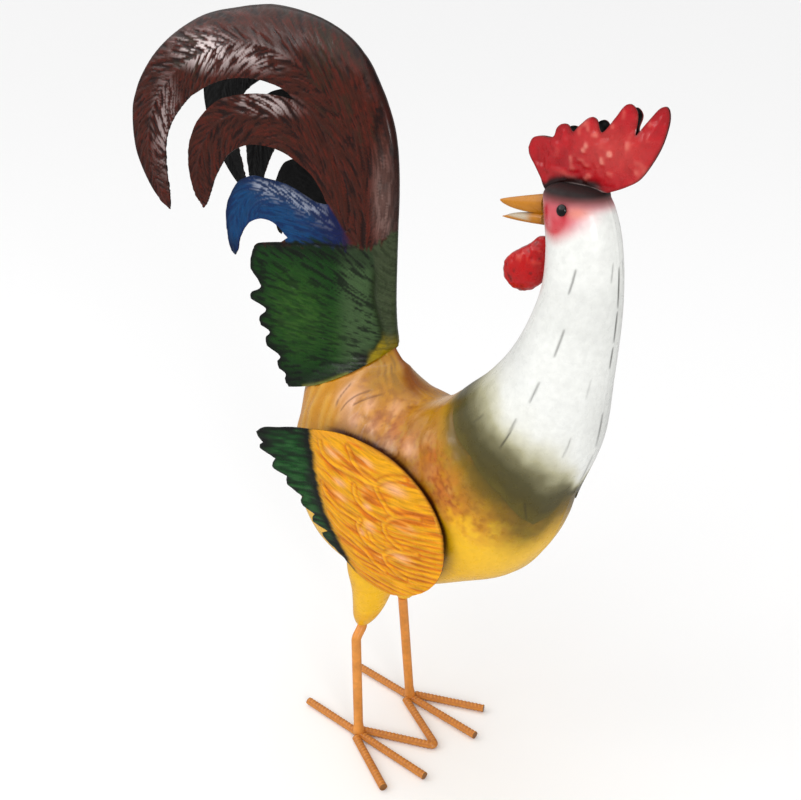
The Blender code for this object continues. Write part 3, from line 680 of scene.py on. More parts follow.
FOLDS = [
    [(-49, 262), (-50, 248), (-47, 232)],
    [(-38, 266), (-40, 248), (-38, 232)],
    [(-25, 262), (-25, 250), (-21, 238)],
    [(-6, 280), (-13, 268), (-17, 254), (-15, 242)],
    [(11, 277), (2, 271), (-5, 263), (-8, 254)],
]
CREASES = [
    [(9, 275), (1, 270.5), (-5, 264), (-7, 260)],
    [(17, 274), (8, 270), (2, 265.5)],
    [(-9, 274), (-13, 266), (-14, 260)],
]
BUMPS = [
    (8, 255, 8), (24, 256, 8.5), (41, 251, 9), (58, 254, 9), (71, 265, 8), (85, 268, 7.5), (96, 260, 7),
    (15, 266, 7), (0, 264, 7), (33, 267, 7), (51, 269, 7), (66, 240, 8), (82, 247, 8), (98, 243, 7),
    (109, 252, 7), (115, 238, 7), (76, 228, 7), (94, 227, 7), (108, 222, 7), (66, 279, 6), (86, 282, 6),
    (102, 273, 6), (118, 262, 6),
]


# From a spot on the flank to the rim of the wing that shades it: mm forward and up for each mm of gap.
SHADE_SLANT = (0.916, 0.601)


def draw_in(places, turns):
    """How far the body goes in under the tail sheets and under the hackle's edge."""
    lap_end = TAIL_LAP_FRONT + (TAIL_LAP_BACK - TAIL_LAP_FRONT) * (1 + np.cos(turns)) / 2
    tail = 1 - ease((places - lap_end) / 0.6)
    past = places - cape_line(turns)
    return np.maximum(TAIL_LAP_DEPTH * tail, 0.5 * ease((past + 0.3) / 0.3) + 1.3 * ease(past / 0.4))


def body_finish(places, turns, points):
    """Relief and colour of the body, from its loft coordinates and its points."""
    side = points[:, [0, 2]]
    x, z = side.T
    width = np.abs(np.sin(turns))
    flank = ease((width - 0.15) / 0.3)
    cloud = noise(points, 26.0, 12) * 0.6 + noise(points, 9.0, 13) * 0.4
    speck = noise(points, 2.6, 14) * 0.6 + noise(points, 5.5, 15) * 0.5
    grain = noise(points, 1.7, 17) * 0.6 + noise(points, 3.1, 19) * 0.4
    bump, glint, bump_shade = np.zeros((3, len(points)))
    swirl = 1.2 * noise(points, 7.0, 16)
    # Each bump gets a painted highlight above and behind it and a painted shade below and in front of it.
    for bump_x, bump_z, size in BUMPS:
        apart = np.hypot((x - bump_x + swirl) / size, (z - bump_z - swirl) / size / 1.1)
        bump = np.maximum(bump, bell(apart))
        apart = np.hypot((x - bump_x + 2 + swirl) / size, (z - bump_z - 2) / size) * 1.5
        glint = np.maximum(glint, bell(apart))
        apart = np.hypot((x - bump_x - size) / 3.4, (z - bump_z + size * 0.7) / 5.6)
        bump_shade = np.maximum(bump_shade, bell(apart))
    bump, glint, bump_shade = bump * flank, glint * flank, bump_shade * flank
    relief = 1.3 * bump + 0.3 * noise(points, 8.0, 8) * flank * ease((z - 215) / 20)
    fold = np.maximum.reduce([beside(side, line, 3.0) for line in FOLDS])
    relief += 0.4 * fold * flank
    crease = np.maximum.reduce([beside(side, line, 0.6) for line in CREASES])
    relief -= 0.35 * crease * flank
    seam = bell(points[:, 1] / 1.1) * ease((places - 2.5) / 1)
    relief += 0.45 * seam
    # The lap under the tail sheets and the cape stays plain, so that nothing pokes through.
    collar = cape_line(turns) - places
    relief *= ease((292 - z) / 8) * ease((collar - 0.05) / 0.4)

    paint = painted(len(points), (226, 164, 22))
    belly = ease((240 - z) / 30)
    chestward = ease((x - 92) / 34) * ease((250 - z) / 30)
    upper = ease((z - 226) / 22) * ease((x + 26) / 30)
    pale = glint * (0.25 + 0.75 * ease((82 - x) / 22))
    rust = np.maximum.reduce([
        spot(side, (98, 246), (44, 36)), spot(side, (84, 262), (34, 26)),
        0.85 * spot(side, (122, 228), (34, 24)), 0.7 * spot(side, (44, 262), (34, 16)),
    ])
    mottle = noise(points, 3.4, 18) + 0.6 * noise(points, 8.0, 20)
    rump = ease((2 - x) / 10) * ease((z - 222) / 14)
    near_top = np.maximum(spot(side, (20, 294), (38, 30)), 0.9 * spot(side, (58, 276), (48, 20)))
    hatch = strokes_of(x * 0.7 - z * 0.7, x * 0.7 + z * 0.7, 12, 2.0, 31)
    back = ease((0.38 - width) / 0.3) * (np.cos(turns) < 0)
    rim = back * ease((places - 0.5) / 0.8) * ease((5.2 - places) / 1.6)
    saddle_highlight = back * ease((places - 5.5) / 2) * ease((10.9 - places) / 0.9)
    olive = ramp(collar, [(0.0, (90, 79, 40)), (0.3, (106, 90, 38)), (0.9, (176, 142, 34))])
    shade = np.interp(collar, [-0.4, 0.0, 0.3, 0.65, 1.15], [1.0, 0.98, 0.88, 0.5, 0.0])
    shade = shade * np.clip(1 + 0.35 * cloud, 0, 1) * (1 - 0.25 * ease((220 - z) / 20))
    # Painted shadow: a soft dark band on the flank round the upper and front edge of each wing, where its rim
    # shades the flank.
    out = np.maximum(WING_RIM_OFFSET - np.abs(points[:, 1]), 0)
    behind = np.stack([x + SHADE_SLANT[0] * out, z + SHADE_SLANT[1] * out], axis=1)
    rimline = smooth_line(WING_RIM, 3)
    from_rim = distance_to_line(behind, rimline)[0] * np.where(inside_outline(behind, rimline), -1, 1)
    near = ease((behind[:, 0] + 14) / 24) * ease((behind[:, 1] - 160) / 30)
    front = near * (0.35 + 0.65 * ease((behind[:, 1] - 186) / 30))
    under_tail = ease((z - 300) / 12)
    paint = coats(
        paint,
        ((244, 190, 14), belly * 0.85),
        ((232, 186, 62), chestward * 0.6),
        ((190, 128, 34), upper * 0.9),
        ((160, 112, 30), upper * ease((cloud + 0.15) / 0.5) * 0.65),
        ((150, 92, 36), upper * ease((grain - 0.12) / 0.35) * 0.55),
        # Painted highlights on the bumps, then painted shade below their fronts.
        ((232, 174, 134), upper * pale * ease((cloud + 0.8) / 0.5) * 0.75),
        ((160, 92, 42), upper * bump_shade * ease((speck + 0.5) / 0.6) * 0.6),
        ((188, 104, 44), rust * ease((speck + 0.5) / 0.7) * 0.8),
        ((144, 70, 34), rust * ease(grain / 0.4) * 0.75),
        ((146, 84, 36), upper * ease((mottle - 0.1) / 0.6) * 0.45),
        ((196, 128, 30), rump * 0.8),
        # Painted highlights: light streaks on the rump's folds and pinkish patches on the flank below the
        # tail.
        ((232, 184, 90), rump * fold * 0.4),
        ((226, 172, 140), spot(side, (-8, 270), (20, 18)) * (0.4 + 0.6 * fold) * 0.8),
        ((214, 160, 120), spot(side, (-2, 256), (12, 16)) * 0.5),
        ((110, 66, 32), crease * flank * 0.8),
        ((172, 122, 8), near_top * np.clip(0.8 + 0.3 * cloud, 0, 1)),
        ((140, 80, 34), spot(side, (38, 272), (34, 16)) * ease((speck - 0.1) / 0.5) * 0.5),
        ((104, 74, 22), spot(side, (20, 292), (30, 24)) * ease((hatch - 0.1) / 0.4) * 0.6),
        ((200, 180, 90), spot(side, (14, 296), (24, 20)) * ease((-0.35 - hatch) / 0.3) * 0.5),
        ((132, 74, 40), rim * 0.85),
        # Painted highlight along the saddle.
        ((216, 184, 150), saddle_highlight * 0.7),
        (olive, shade),
        # Painted shadow of the wing's rim on the flank, soft and wide, then dark and narrow.
        ((112, 74, 22), near * ease((13 - from_rim) / 12) * 0.5),
        ((62, 34, 18), front * ease((3.9 - from_rim) / 2.6) * 0.92),
        ((120, 104, 30), under_tail * 0.7),
    )
    return relief, paint


def build_body(material):
    rings, sides = 290, 220
    places, turns = loft_grid(0, BODY_END, rings, sides)
    points = section_points(SECTIONS, places, turns, draw_in(places, turns))
    relief, paint = body_finish(places, turns, points)
    points = points + grid_normals(points, rings, sides) * relief[:, None]
    points, all_faces = closed_loft(points, rings, sides)
    paint = np.vstack([paint, painted(2, YELLOW)])
    thigh_rings, thigh_sides = 70, 72
    thigh_turns = np.tile(turns_of(thigh_sides), thigh_rings)
    for side in (-1, 1):
        first = 0.0 if side < 0 else 0.9
        rows = smooth_values(THIGH_SECTIONS, np.linspace(first, len(THIGH_SECTIONS) - 1, thigh_rings))
        rows = np.repeat(rows, thigh_sides, axis=0)
        x = rows[:, 0] + rows[:, 3] * np.cos(thigh_turns)
        y = side * rows[:, 1] + rows[:, 3] * np.sin(thigh_turns)
        part, faces = closed_loft(np.stack([x, y, rows[:, 2]], axis=1), thigh_rings, thigh_sides)
        all_faces += [[k + len(points) for k in face] for face in faces]
        points = np.vstack([points, part])
        cloud = ease((noise(part, 12.0, 3) + 0.2) / 0.8)
        paint = np.vstack([paint, mixed(painted(len(part), BRIGHT), YELLOW_DEEP, 0.25 * cloud)])
    new_piece("body", points, all_faces, material, paint, points * 0.25)


CAPE_LINE = [
    (0, 12.1), (12, 12.03), (19.5, 11.78), (31.5, 11.5), (44, 11.6), (62, 11.73), (81, 11.8),
    (103, 11.8), (131, 11.6), (180, 11.6),
]
WHITE_LINE = [
    (0, 12.35), (7, 12.35), (31, 12.53), (58, 12.73), (88, 12.83), (122, 13.0), (163, 13.05), (180, 13.05),
]


def cape_line(turns):
    """Section number of the hackle's lower edge, from the angle round the neck."""
    around = np.degrees(np.minimum(turns, 2 * math.pi - turns))
    scallop = 0.05 * np.abs(np.sin(turns * CAPE_POINTS / 2))
    return np.interp(around, *zip(*CAPE_LINE)) - scallop


DASHES = [
    (16.45, 290.2, 15.88, 283.5, 1.0), (15.08, 288.8, 14.55, 286.5, 1.0), (14.03, 280.5, 13.62, 279, 0.9),
    (13.23, 274.5, 12.5, 276, 0.9), (13.25, 326.2, 12.9, 324.8, 0.5), (14.2, 333.8, 13.88, 333, 0.3),
    (16.43, 347.2, 15.98, 343.5, 0.5), (11.85, 314.2, 11.55, 321.8, 0.6), (12.75, 246, 12.35, 244, 0.4),
]
SEAM_DASHES = [(16.28, 15.38), (15.3, 14.73), (14.65, 14.3), (13.58, 13.03), (12.88, 12.28)]


def loft_points(pairs):
    return np.array([section_points(SECTIONS, [t], np.radians([turn]))[0] for t, turn in pairs])


def on_the_right(points):
    """The points, with those of the left side mirrored to the right."""
    return np.stack([points[:, 0], -np.abs(points[:, 1]), points[:, 2]], axis=1)


def dash_depth(points):
    """How much of an engraved dash lies at each point, on both sides of the neck."""
    total = np.zeros(len(points))
    both = on_the_right(points)
    lines = [((a, b), (c, d), strength) for a, b, c, d, strength in DASHES]
    lines += [((a, 359.5), (b, 359.5), 1.0) for a, b in SEAM_DASHES]
    for start, end, strength in lines:
        middle = ((start[0] + end[0]) / 2, (start[1] + end[1]) / 2)
        line = loft_points([start, middle, end])
        reach = np.linalg.norm(line[0] - line[2]) / 2 + 3
        near = np.flatnonzero(np.linalg.norm(both - line[1], axis=1) < reach)
        apart, place = distance_to_line(both[near], line)
        taper = np.sqrt(np.clip(1 - (2 * place - 1) ** 2, 0, 1))
        depth = strength * bell(apart / 0.55) * (0.35 + 0.65 * taper)
        total[near] = np.maximum(total[near], depth)
    return total


def hackle_relief(places, turns, points):
    relief = -0.4 * dash_depth(points)
    relief += 0.3 * bell(points[:, 1] / 0.9) * (np.cos(turns) > 0)
    flute = np.cos(turns * CAPE_POINTS)
    relief += 0.15 * flute * ease((12.9 - places) / 1.1)
    return relief


def hackle_paint(places, turns, points):
    """White enamel, smoked at the cape's edge, with a red face and a dark crown."""
    paint = mixed(painted(len(points), WHITE), (222, 223, 219), ease((noise(points, 30.0, 43) + 0.3) / 0.9))
    around = np.degrees(np.minimum(turns, 2 * math.pi - turns))
    low = cape_line(turns)
    high = np.interp(around, *zip(*WHITE_LINE))
    cloud = noise(points, 14.0, 44) + 0.5 * noise(points, 5.0, 45)
    up = (places + 0.12 * cloud - low) / (high - low)
    smoke = ramp(up, [
        (0.0, (96, 85, 42)), (0.2, (82, 74, 42)), (0.45, (84, 79, 52)), (0.7, (118, 113, 84)),
        (0.95, (172, 168, 138)), (1.2, (208, 206, 188)), (1.5, (224, 224, 216)),
    ])
    paint = mixed(paint, smoke, np.interp(up, [1.2, 1.8], [1.0, 0.0]))
    both = on_the_right(points)
    blush = np.clip(1.5 * spot(both, (143, -16, 412), (22, 30, 16)), 0, 1)
    blush = np.maximum(blush, spot(both, (152, -16, 416), (16, 30, 7)))
    face = np.clip(1.7 * spot(both, (137, -16, 408), (18, 30, 17)), 0, 1)
    z = points[:, 2]
    back = ease((172 - points[:, 0]) / 12)
    paint = coats(
        paint,
        ((44, 42, 38), dash_depth(points) * 0.95),
        ((230, 140, 152), blush * 0.75),
        ((196, 30, 48), face * (0.9 + 0.2 * noise(points, 5.0, 48))),
        # Painted highlight beside the eye.
        ((224, 140, 112), spot(both, (151, -18, 413), (10, 20, 6)) * 0.8),
        ((160, 30, 44), spot(both, (128, -16, 408), (7, 20, 16)) * 0.6),
        ((186, 100, 108), ease((z - 410) / 6) * 0.6 * back),
        ((104, 56, 54), ease((z - 413) / 5) * 0.85 * back),
        ((34, 24, 22), ease((z - 416.5) / 4) * 0.95),
    )
    return paint


def build_hackle(material):
    rings, sides = 330, 264
    turns = turns_of(sides)
    last = len(SECTIONS) - 1
    edge = cape_line(turns)
    steps = np.linspace(0, 1, rings)
    places = (edge[None, :] + (last - edge)[None, :] * steps[:, None]).ravel()
    all_turns = np.tile(turns, rings)
    proud = 0.25 * (1 - ease(np.repeat(steps, sides) * 3))
    points = section_points(SECTIONS, places, all_turns, 0.0)
    relief = proud + hackle_relief(places, all_turns, points)
    points = points + grid_normals(points, rings, sides) * relief[:, None]
    inner_x, inner_z, outer_x, outer_z, width = SECTIONS[-1]
    middle = np.array([(inner_x + outer_x) / 2, 0, (inner_z + outer_z) / 2])
    half = np.array([(outer_x - inner_x) / 2, 0, (outer_z - inner_z) / 2])
    up = np.array([-half[2], 0, half[0]]) / np.linalg.norm(half)
    crown = []
    rises = np.sin(np.linspace(0, math.pi / 2, 16))[1:-1]
    sideways = np.stack([turns * 0, width * np.sin(turns), turns * 0], axis=1)
    for rise in rises:
        shrink = (1 - rise**CROWN_POWER) ** (1 / CROWN_POWER)
        ring = middle + shrink * (half[None] * np.cos(turns)[:, None] + sideways)
        lean = 1 - 0.014 * np.maximum(ring[:, :1] - 132, 0)
        crown.append(ring + up * CROWN_RISE * rise * lean)
    points = np.vstack([points] + crown + [(middle + up * CROWN_RISE * 0.89)[None]])
    total = rings + len(rises)
    faces = grid_faces(total, sides).tolist()
    top = len(points) - 1
    faces += [[(total - 1) * sides + k, (total - 1) * sides + (k + 1) % sides, top] for k in range(sides)]
    # The wall at the cape's edge and the hollow behind it.
    start = len(points)
    inner_rings = 10
    inner_steps = np.linspace(0, 1, inner_rings)[:, None]
    inner_places = (edge[None, :] + (BODY_END - 0.4 - edge)[None, :] * inner_steps).ravel()
    inset = np.repeat(np.linspace(0.35, HACKLE_WALL, inner_rings), sides)
    inner = section_points(SECTIONS, inner_places, np.tile(turns, inner_rings), inset)
    points = np.vstack([points, inner])
    faces += (grid_faces(inner_rings, sides)[:, ::-1] + start).tolist()
    for k in range(sides):
        other = (k + 1) % sides
        faces.append([other, k, start + k, start + other])
    crown_turns = np.append(np.tile(turns, len(rises)), 0.0)
    places = np.concatenate([places, np.full(len(crown_turns), float(last)), inner_places])
    all_turns = np.concatenate([all_turns, crown_turns, np.tile(turns, inner_rings)])
    paint = hackle_paint(places, all_turns, points)
    paint[-len(inner):] = linear(*SMOKE)
    matt = ease((points[:, 2] - 412) / 4)
    new_piece("hackle", points, faces, material, paint, points * 0.25, matt)


# Sheets.


def sheet_normals(points, faces):
    faces = np.asarray(faces)
    corners = points[faces]
    normal = np.cross(corners[:, 1] - corners[:, 0], corners[:, 2] - corners[:, 0])
    normal[normal[:, 1] > 0] *= -1
    total = np.zeros_like(points)
    for k in range(3):
        np.add.at(total, faces[:, k], normal)
    return total / (np.linalg.norm(total, axis=1)[:, None] + 1e-12)


def build_sheet(kind, side, flat, faces, depth, relief, thickness, material, paint, strokes, inside):
    """Both faces and the rim of a sheet; the right one faces -Y and the left one is its mirror."""
    points = np.stack([flat[:, 0], -depth, flat[:, 1]], axis=1)
    faces = np.asarray(faces)
    corners = points[faces]
    normal = np.cross(corners[:, 1] - corners[:, 0], corners[:, 2] - corners[:, 0])
    turned = np.where((normal[:, 1] > 0)[:, None], faces[:, ::-1], faces)
    normals = sheet_normals(points, turned)
    outer = points + normals * relief[:, None]
    outer[:, 1] = np.minimum(outer[:, 1], -GAP / 2)
    inner = outer - normals * thickness
    inner[:, 1] = np.minimum(inner[:, 1], -GAP / 2)
    count = len(points)
    every = np.vstack([outer, inner])
    edges = np.concatenate([turned[:, [0, 1]], turned[:, [1, 2]], turned[:, [2, 0]]])
    keys = edges[:, 0] * count + edges[:, 1]
    back = edges[:, 1] * count + edges[:, 0]
    rim = edges[~np.isin(keys, back)]
    walls = np.stack([rim[:, 1], rim[:, 0], count + rim[:, 0], count + rim[:, 1]], axis=1)
    under = turned[:, ::-1] + count
    if side > 0:
        every[:, 1] = -every[:, 1]
        turned, under, walls = turned[:, ::-1], under[:, ::-1], walls[:, ::-1]
    all_faces = turned.tolist() + under.tolist() + walls.tolist()
    paint = np.vstack([paint, painted(count, inside)])
    node = kind + ("_right" if side < 0 else "_left")
    matt = np.repeat([0.0, 1.0], count)
    new_piece(node, every, all_faces, material, paint, np.vstack([strokes, strokes]), matt)


BIG_RACHIS = [
    (-6, 340), (-5, 370), (-4.7, 385), (-6.5, 400), (-10, 416), (-18, 432), (-28, 446),
    (-41, 458.5), (-57, 468.5), (-79, 476), (-103, 477), (-128, 472), (-152, 462), (-172, 447),
    (-184, 432), (-188.5, 414), (-187, 396), (-179, 380.5), (-168, 366),
]
SECOND_RACHIS = [
    (-22, 340), (-23.4, 366), (-27, 377), (-32, 391.5), (-39, 405), (-48, 417), (-59, 427.5),
    (-74, 434.5), (-92, 436), (-110.5, 432.5), (-126, 425), (-138, 413), (-146, 396.5),
    (-147.5, 382), (-143.5, 369),
]
BLUE_RACHIS = [
    (-14, 364), (-25, 368.5), (-40, 374), (-55.5, 379), (-69, 383), (-85, 386.5), (-97.5, 385),
    (-108.5, 377.5), (-116, 365.5), (-118.5, 353.5), (-117, 340.5),
]


def tail_edge(lift):
    """The tail's outline with close points, and the same points of its seam first."""
    seam = smooth_run(TAIL_SEAM, TAIL_STEP)
    parts = [
        [TAIL_SEAM[-1]] + BIG_FEATHER_OUTER + [BIG_FEATHER_TIP],
        [BIG_FEATHER_TIP] + BIG_FEATHER_INNER + [FIRST_CROTCH],
        [FIRST_CROTCH] + SECOND_FEATHER_OUTER + [SECOND_FEATHER_TIP],
        [SECOND_FEATHER_TIP] + SECOND_FEATHER_INNER + [SECOND_CROTCH],
        np.vstack([[SECOND_CROTCH], lifted(BLUE_FEATHER_OUTER + [BLUE_FEATHER_TIP], lift)]),
        np.vstack([lifted([BLUE_FEATHER_TIP] + BLUE_FEATHER_INNER, lift), [THIRD_CROTCH]]),
    ]
    runs = [smooth_run(part, TAIL_STEP)[1:] for part in parts]
    runs.append(resample([THIRD_CROTCH] + FLAP_TOP_EDGE, TAIL_STEP)[1:])
    start = FLAP_TOP_EDGE[-1]
    for lobe in FLAP_LOBES + [FLAP_BOTTOM_EDGE]:
        runs.append(smooth_run([start, *lobe], TAIL_STEP)[1:])
        start = lobe[-1]
    outline = np.vstack([seam] + runs)
    return spaced(outline), seam


def near_half_width(points):
    """Half width of the body's loft at points near the tail root; 0 outside it."""
    places = np.linspace(0, 5, 101)
    turns = np.linspace(math.pi, 2 * math.pi, 61)
    cloud = np.vstack([section_points(SECTIONS, np.full(len(turns), p), turns) for p in places])
    tree = KDTree(len(cloud))
    for k, place in enumerate(cloud):
        tree.insert((place[0], place[2], 0), k)
    tree.balance()
    width = np.zeros(len(points))
    low = np.flatnonzero((points[:, 1] < 350) & (points[:, 0] > -95))
    for k in low:
        found = tree.find_n((points[k, 0], points[k, 1], 0), 4)
        if found[0][2] < 2.5:
            share = np.array([1 / (apart + 0.05) for _, _, apart in found])
            width[k] = (share * -cloud[[number for _, number, _ in found], 1]).sum() / share.sum()
    return width


def tail_surface(flat):
    """Depth of the tail's outer face, with the distance to its outer edge."""
    edge = smooth_line(TAIL_SEAM + BIG_FEATHER_OUTER, 4)
    top = (len(TAIL_SEAM) - 1) / (len(TAIL_SEAM) + len(BIG_FEATHER_OUTER) - 1)
    apart, place = distance_to_line(flat, edge)
    full = tail_spread(flat)
    rounding = np.clip(apart / (TAIL_ROUNDING * full), 0, 1)
    rise = np.sqrt(np.clip(1 - (1 - rounding) ** 2, 0, 1))
    freed = 0.95 * ease((place - top + 0.04) / 0.34)
    depth = full * (freed + (1 - freed) * rise)
    return np.maximum(np.maximum(depth, near_half_width(flat)), GAP / 2), apart


def relaxed(values, faces, where, rounds):
    """Values on a mesh evened out between neighbours at the chosen points."""
    faces = np.asarray(faces)
    near = np.concatenate([faces[:, [0, 1]], faces[:, [1, 2]], faces[:, [2, 0]]])
    near = np.vstack([near, near[:, ::-1]])
    count = np.bincount(near[:, 0], minlength=len(values))
    for _ in range(rounds):
        total = np.bincount(near[:, 0], weights=values[near[:, 1]], minlength=len(values))
        values = np.where(where, 0.5 * values + 0.5 * total / count, values)
    return values


def build_tail(side, material):
    lift = 0.0 if side < 0 else BLUE_FEATHER_LIFT
    outline, seam = tail_edge(lift)
    normals = np.stack([np.gradient(seam[:, 1]), -np.gradient(seam[:, 0])], axis=1)
    normals /= np.linalg.norm(normals, axis=1)[:, None]
    rows = np.vstack([(seam - normals * inset)[2:-1] for inset in (0.15, 0.5, 1.1, 1.9, 2.9)])
    rows = rows[inside_outline(rows, outline)]
    rows = rows[from_edge(rows, outline) > 0.1]
    plain = lattice(outline, TAIL_STEP, TAIL_STEP * 0.55)
    seam_apart = distance_to_line(plain, seam)[0]
    flat, faces = fill_outline(outline, np.vstack([rows, plain[seam_apart > 3.6]]))
    depth, apart = tail_surface(flat)
    depth = relaxed(depth, faces, (flat[:, 1] < 345) & (apart > 4), 30)
    on_seam = distance_to_line(flat, seam)[0] < 0.02
    depth[on_seam] = GAP / 2
    relief, paint, strokes = tail_finish(flat, apart)
    relief = relief * np.clip(apart / 3.0, 0, 1)
    build_sheet("tail", side, flat, faces, depth, relief, TAIL_SHEET, material, paint, strokes, INSIDE)


BLUE_REGION = [
    (-127, 330), (-128, 372), (-124, 384), (-116, 396), (-106, 405), (-85, 408), (-60, 403),
    (-44, 394), (-35, 386), (-10, 386), (-10, 354),
    (-69, 355), (-72, 358), (-84, 362), (-96, 361), (-106, 354), (-112, 330),
]


def blue_edge(x):
    """Height of the line between the blue feather and the maroon above it."""
    return np.interp(x, [-130, -60, -44, -35, -28, -20, -12], [420, 404, 394, 387, 378, 369, 362])


GREEN_LINE = [
    (-110, 351), (-95, 351), (-70, 355), (-52, 358.5), (-33, 361), (-12, 361), (0, 364), (12, 374), (24, 382),
]
STRIP_LINE = [
    (16, 436), (11.5, 427), (5, 415), (-0.8, 400), (-2.8, 385), (-3.5, 370), (1, 356), (0.5, 345),
    (-0.4, 333), (2, 322), (4.2, 314), (6, 306), (1.7, 298), (-3.6, 289),
]


# How far the barbs lean from their quill, in degrees, at distances along it.
BARB_LEAN = [(0, 9), (90, 13), (180, 24), (260, 38), (400, 40)]


def tail_finish(flat, apart):
    """Relief, colour and stroke direction of the tail's outer face."""
    x, z = flat.T
    which, along, across = flow(flat, [BIG_RACHIS, SECOND_RACHIS, BLUE_RACHIS])
    spread = np.interp(along, *zip(*BARB_LEAN))
    marks = np.arange(0, 600.0)
    run = np.cumsum(np.tan(np.radians(np.interp(marks, *zip(*BARB_LEAN)))))
    over = np.interp(along, marks, run) - np.abs(across)
    down = along + np.abs(across) * np.tan(np.radians(spread))
    over = over + np.where(across > 0, 200.0, 0.0) + which * 411.0
    # The flap's barbs fan out from its root.
    fan_x, fan_z = x - 75, z - 300
    reach = np.hypot(fan_x, fan_z)
    swing = np.arctan2(fan_z, -fan_x) * 120
    green_z = np.interp(x, *zip(*GREEN_LINE))
    fringe = woven(down / 6, over / 1.6, 5)
    blue_zone = inside_outline(flat, BLUE_REGION)
    leafy = ~((x < -72) & blue_zone)
    flap = (z < green_z) & leafy
    green = ease((green_z - z + 4 * fringe) / 4 + 0.5) * leafy
    strip_x = x_at(z, STRIP_LINE)
    strip = ease((x - strip_x + 1.5) / 3)
    down = np.where(flap, -reach, down)
    over = np.where(flap, swing + 900, over)
    stroke = strokes_of(down, over, 9.0, 1.35, 3)
    fleck = strokes_of(down, over, 7.0, 1.0, 51)
    wide = strokes_of(down, over, 26.0, 5.0, 61)
    free = ease((along - 170) / 60) * ~flap
    calm = 1 - 0.6 * strip * ease((412 - z) / 25)
    relief = (0.34 + 0.16 * free) * stroke * calm
    relief += 0.5 * bell(across / 1.3) * ease((along - 110) / 60) * ~flap
    trough = beside(flat, STRIP_LINE[4:], 2.4) * ease((356 - z) / 12)
    relief -= 0.9 * trough * ease((z - 296) / 14)
    ridge = [(line_x + 4.5, line_z) for line_x, line_z in STRIP_LINE[4:12]]
    relief += 0.5 * beside(flat, ridge, 2.6) * ease((352 - z) / 12)
    lobes = woven(reach / 90, swing / 15, 71)
    relief += np.where(flap, 0.45 * lobes * (1 - strip), 0)
    relief += 0.25 * bell(apart / 1.5)
    between = [(-59, 447), (-46, 440), (-36, 428), (-27, 412), (-20, 395), (-16, 380)]
    relief -= 0.6 * beside(flat, between, 1.8)
    relief -= 0.5 * beside(flat, [(-35, 385.5), (-28, 380), (-20, 372), (-14, 366)], 1.6)
    top_edge = beside(flat, [(-95, 350.5), (-70, 354.5), (-52, 357.5), (-33, 360), (-14, 360.5)], 1.3)
    relief -= 0.5 * top_edge

    paint = painted(len(flat), MAROON)
    patch = noise(flat, 36, 11) + 0.5 * wide
    # Painted highlights: whitish gloss flecks where light catches the ridges over the big feather and the
    # second one.
    sheen = np.maximum.reduce([
        spot(flat, (-134, 471), (44, 17)), 0.5 * spot(flat, (-96, 470), (44, 13)),
        0.6 * spot(flat, (-84, 443), (40, 11)), 0.4 * spot(flat, (-172, 420), (20, 46)),
    ])
    sheen = np.where(flap, 0, sheen)
    # Painted highlight down the rounded front strip.
    front_highlight = spot(flat, (8, 393), (12, 50)) * ~flap
    paint = coats(
        paint,
        (MAROON_RED, ease(fleck / 0.5) * 0.75),
        (MAROON_DARK, ease((-0.12 - stroke) / 0.45) * 0.8),
        (OLIVE, ease((patch - 0.1) / 0.5) * ease((0.3 - fleck) / 0.5) * 0.55),
        (MAUVE, sheen * ease((stroke + 0.05) / 0.4)),
        ((124, 102, 96), front_highlight * (0.35 + 0.5 * ease((fleck + 0.2) / 0.6))),
        (MAROON_DARK, bell(apart / 2.2) * 0.6),
    )
    in_blue = ease((blue_edge(x) - z) / 3 + 0.5) * ease((-14 - x) / 12) * blue_zone
    blue = mixed(painted(len(flat), BLUE), (4, 46, 84), ease((stroke + 0.1) / 0.5) * 0.7)
    grey = beside(flat, [(-90, 391), (-60, 387), (-40, 380), (-22, 370)], 7.5)
    blue = coats(
        blue,
        ((46, 56, 84), grey * 0.8),
        ((160, 166, 182), grey * ease((fleck - 0.12) / 0.3) * ease((-26 - x) / 8) * 0.75),
        (NAVY, ease((x + 58) / 30) * 0.8),
        ((18, 40, 60), ease((356 - z) / 14) * ease((-100 - x) / 8) * 0.85),
        ((8, 44, 90), edge_of(flat, BLUE_FEATHER_INNER, 1.4) * 0.7),
        ((16, 40, 66), edge_of(flat, BLUE_FEATHER_OUTER, 2.6) * 0.75),
    )
    paint = mixed(paint, blue, in_blue)

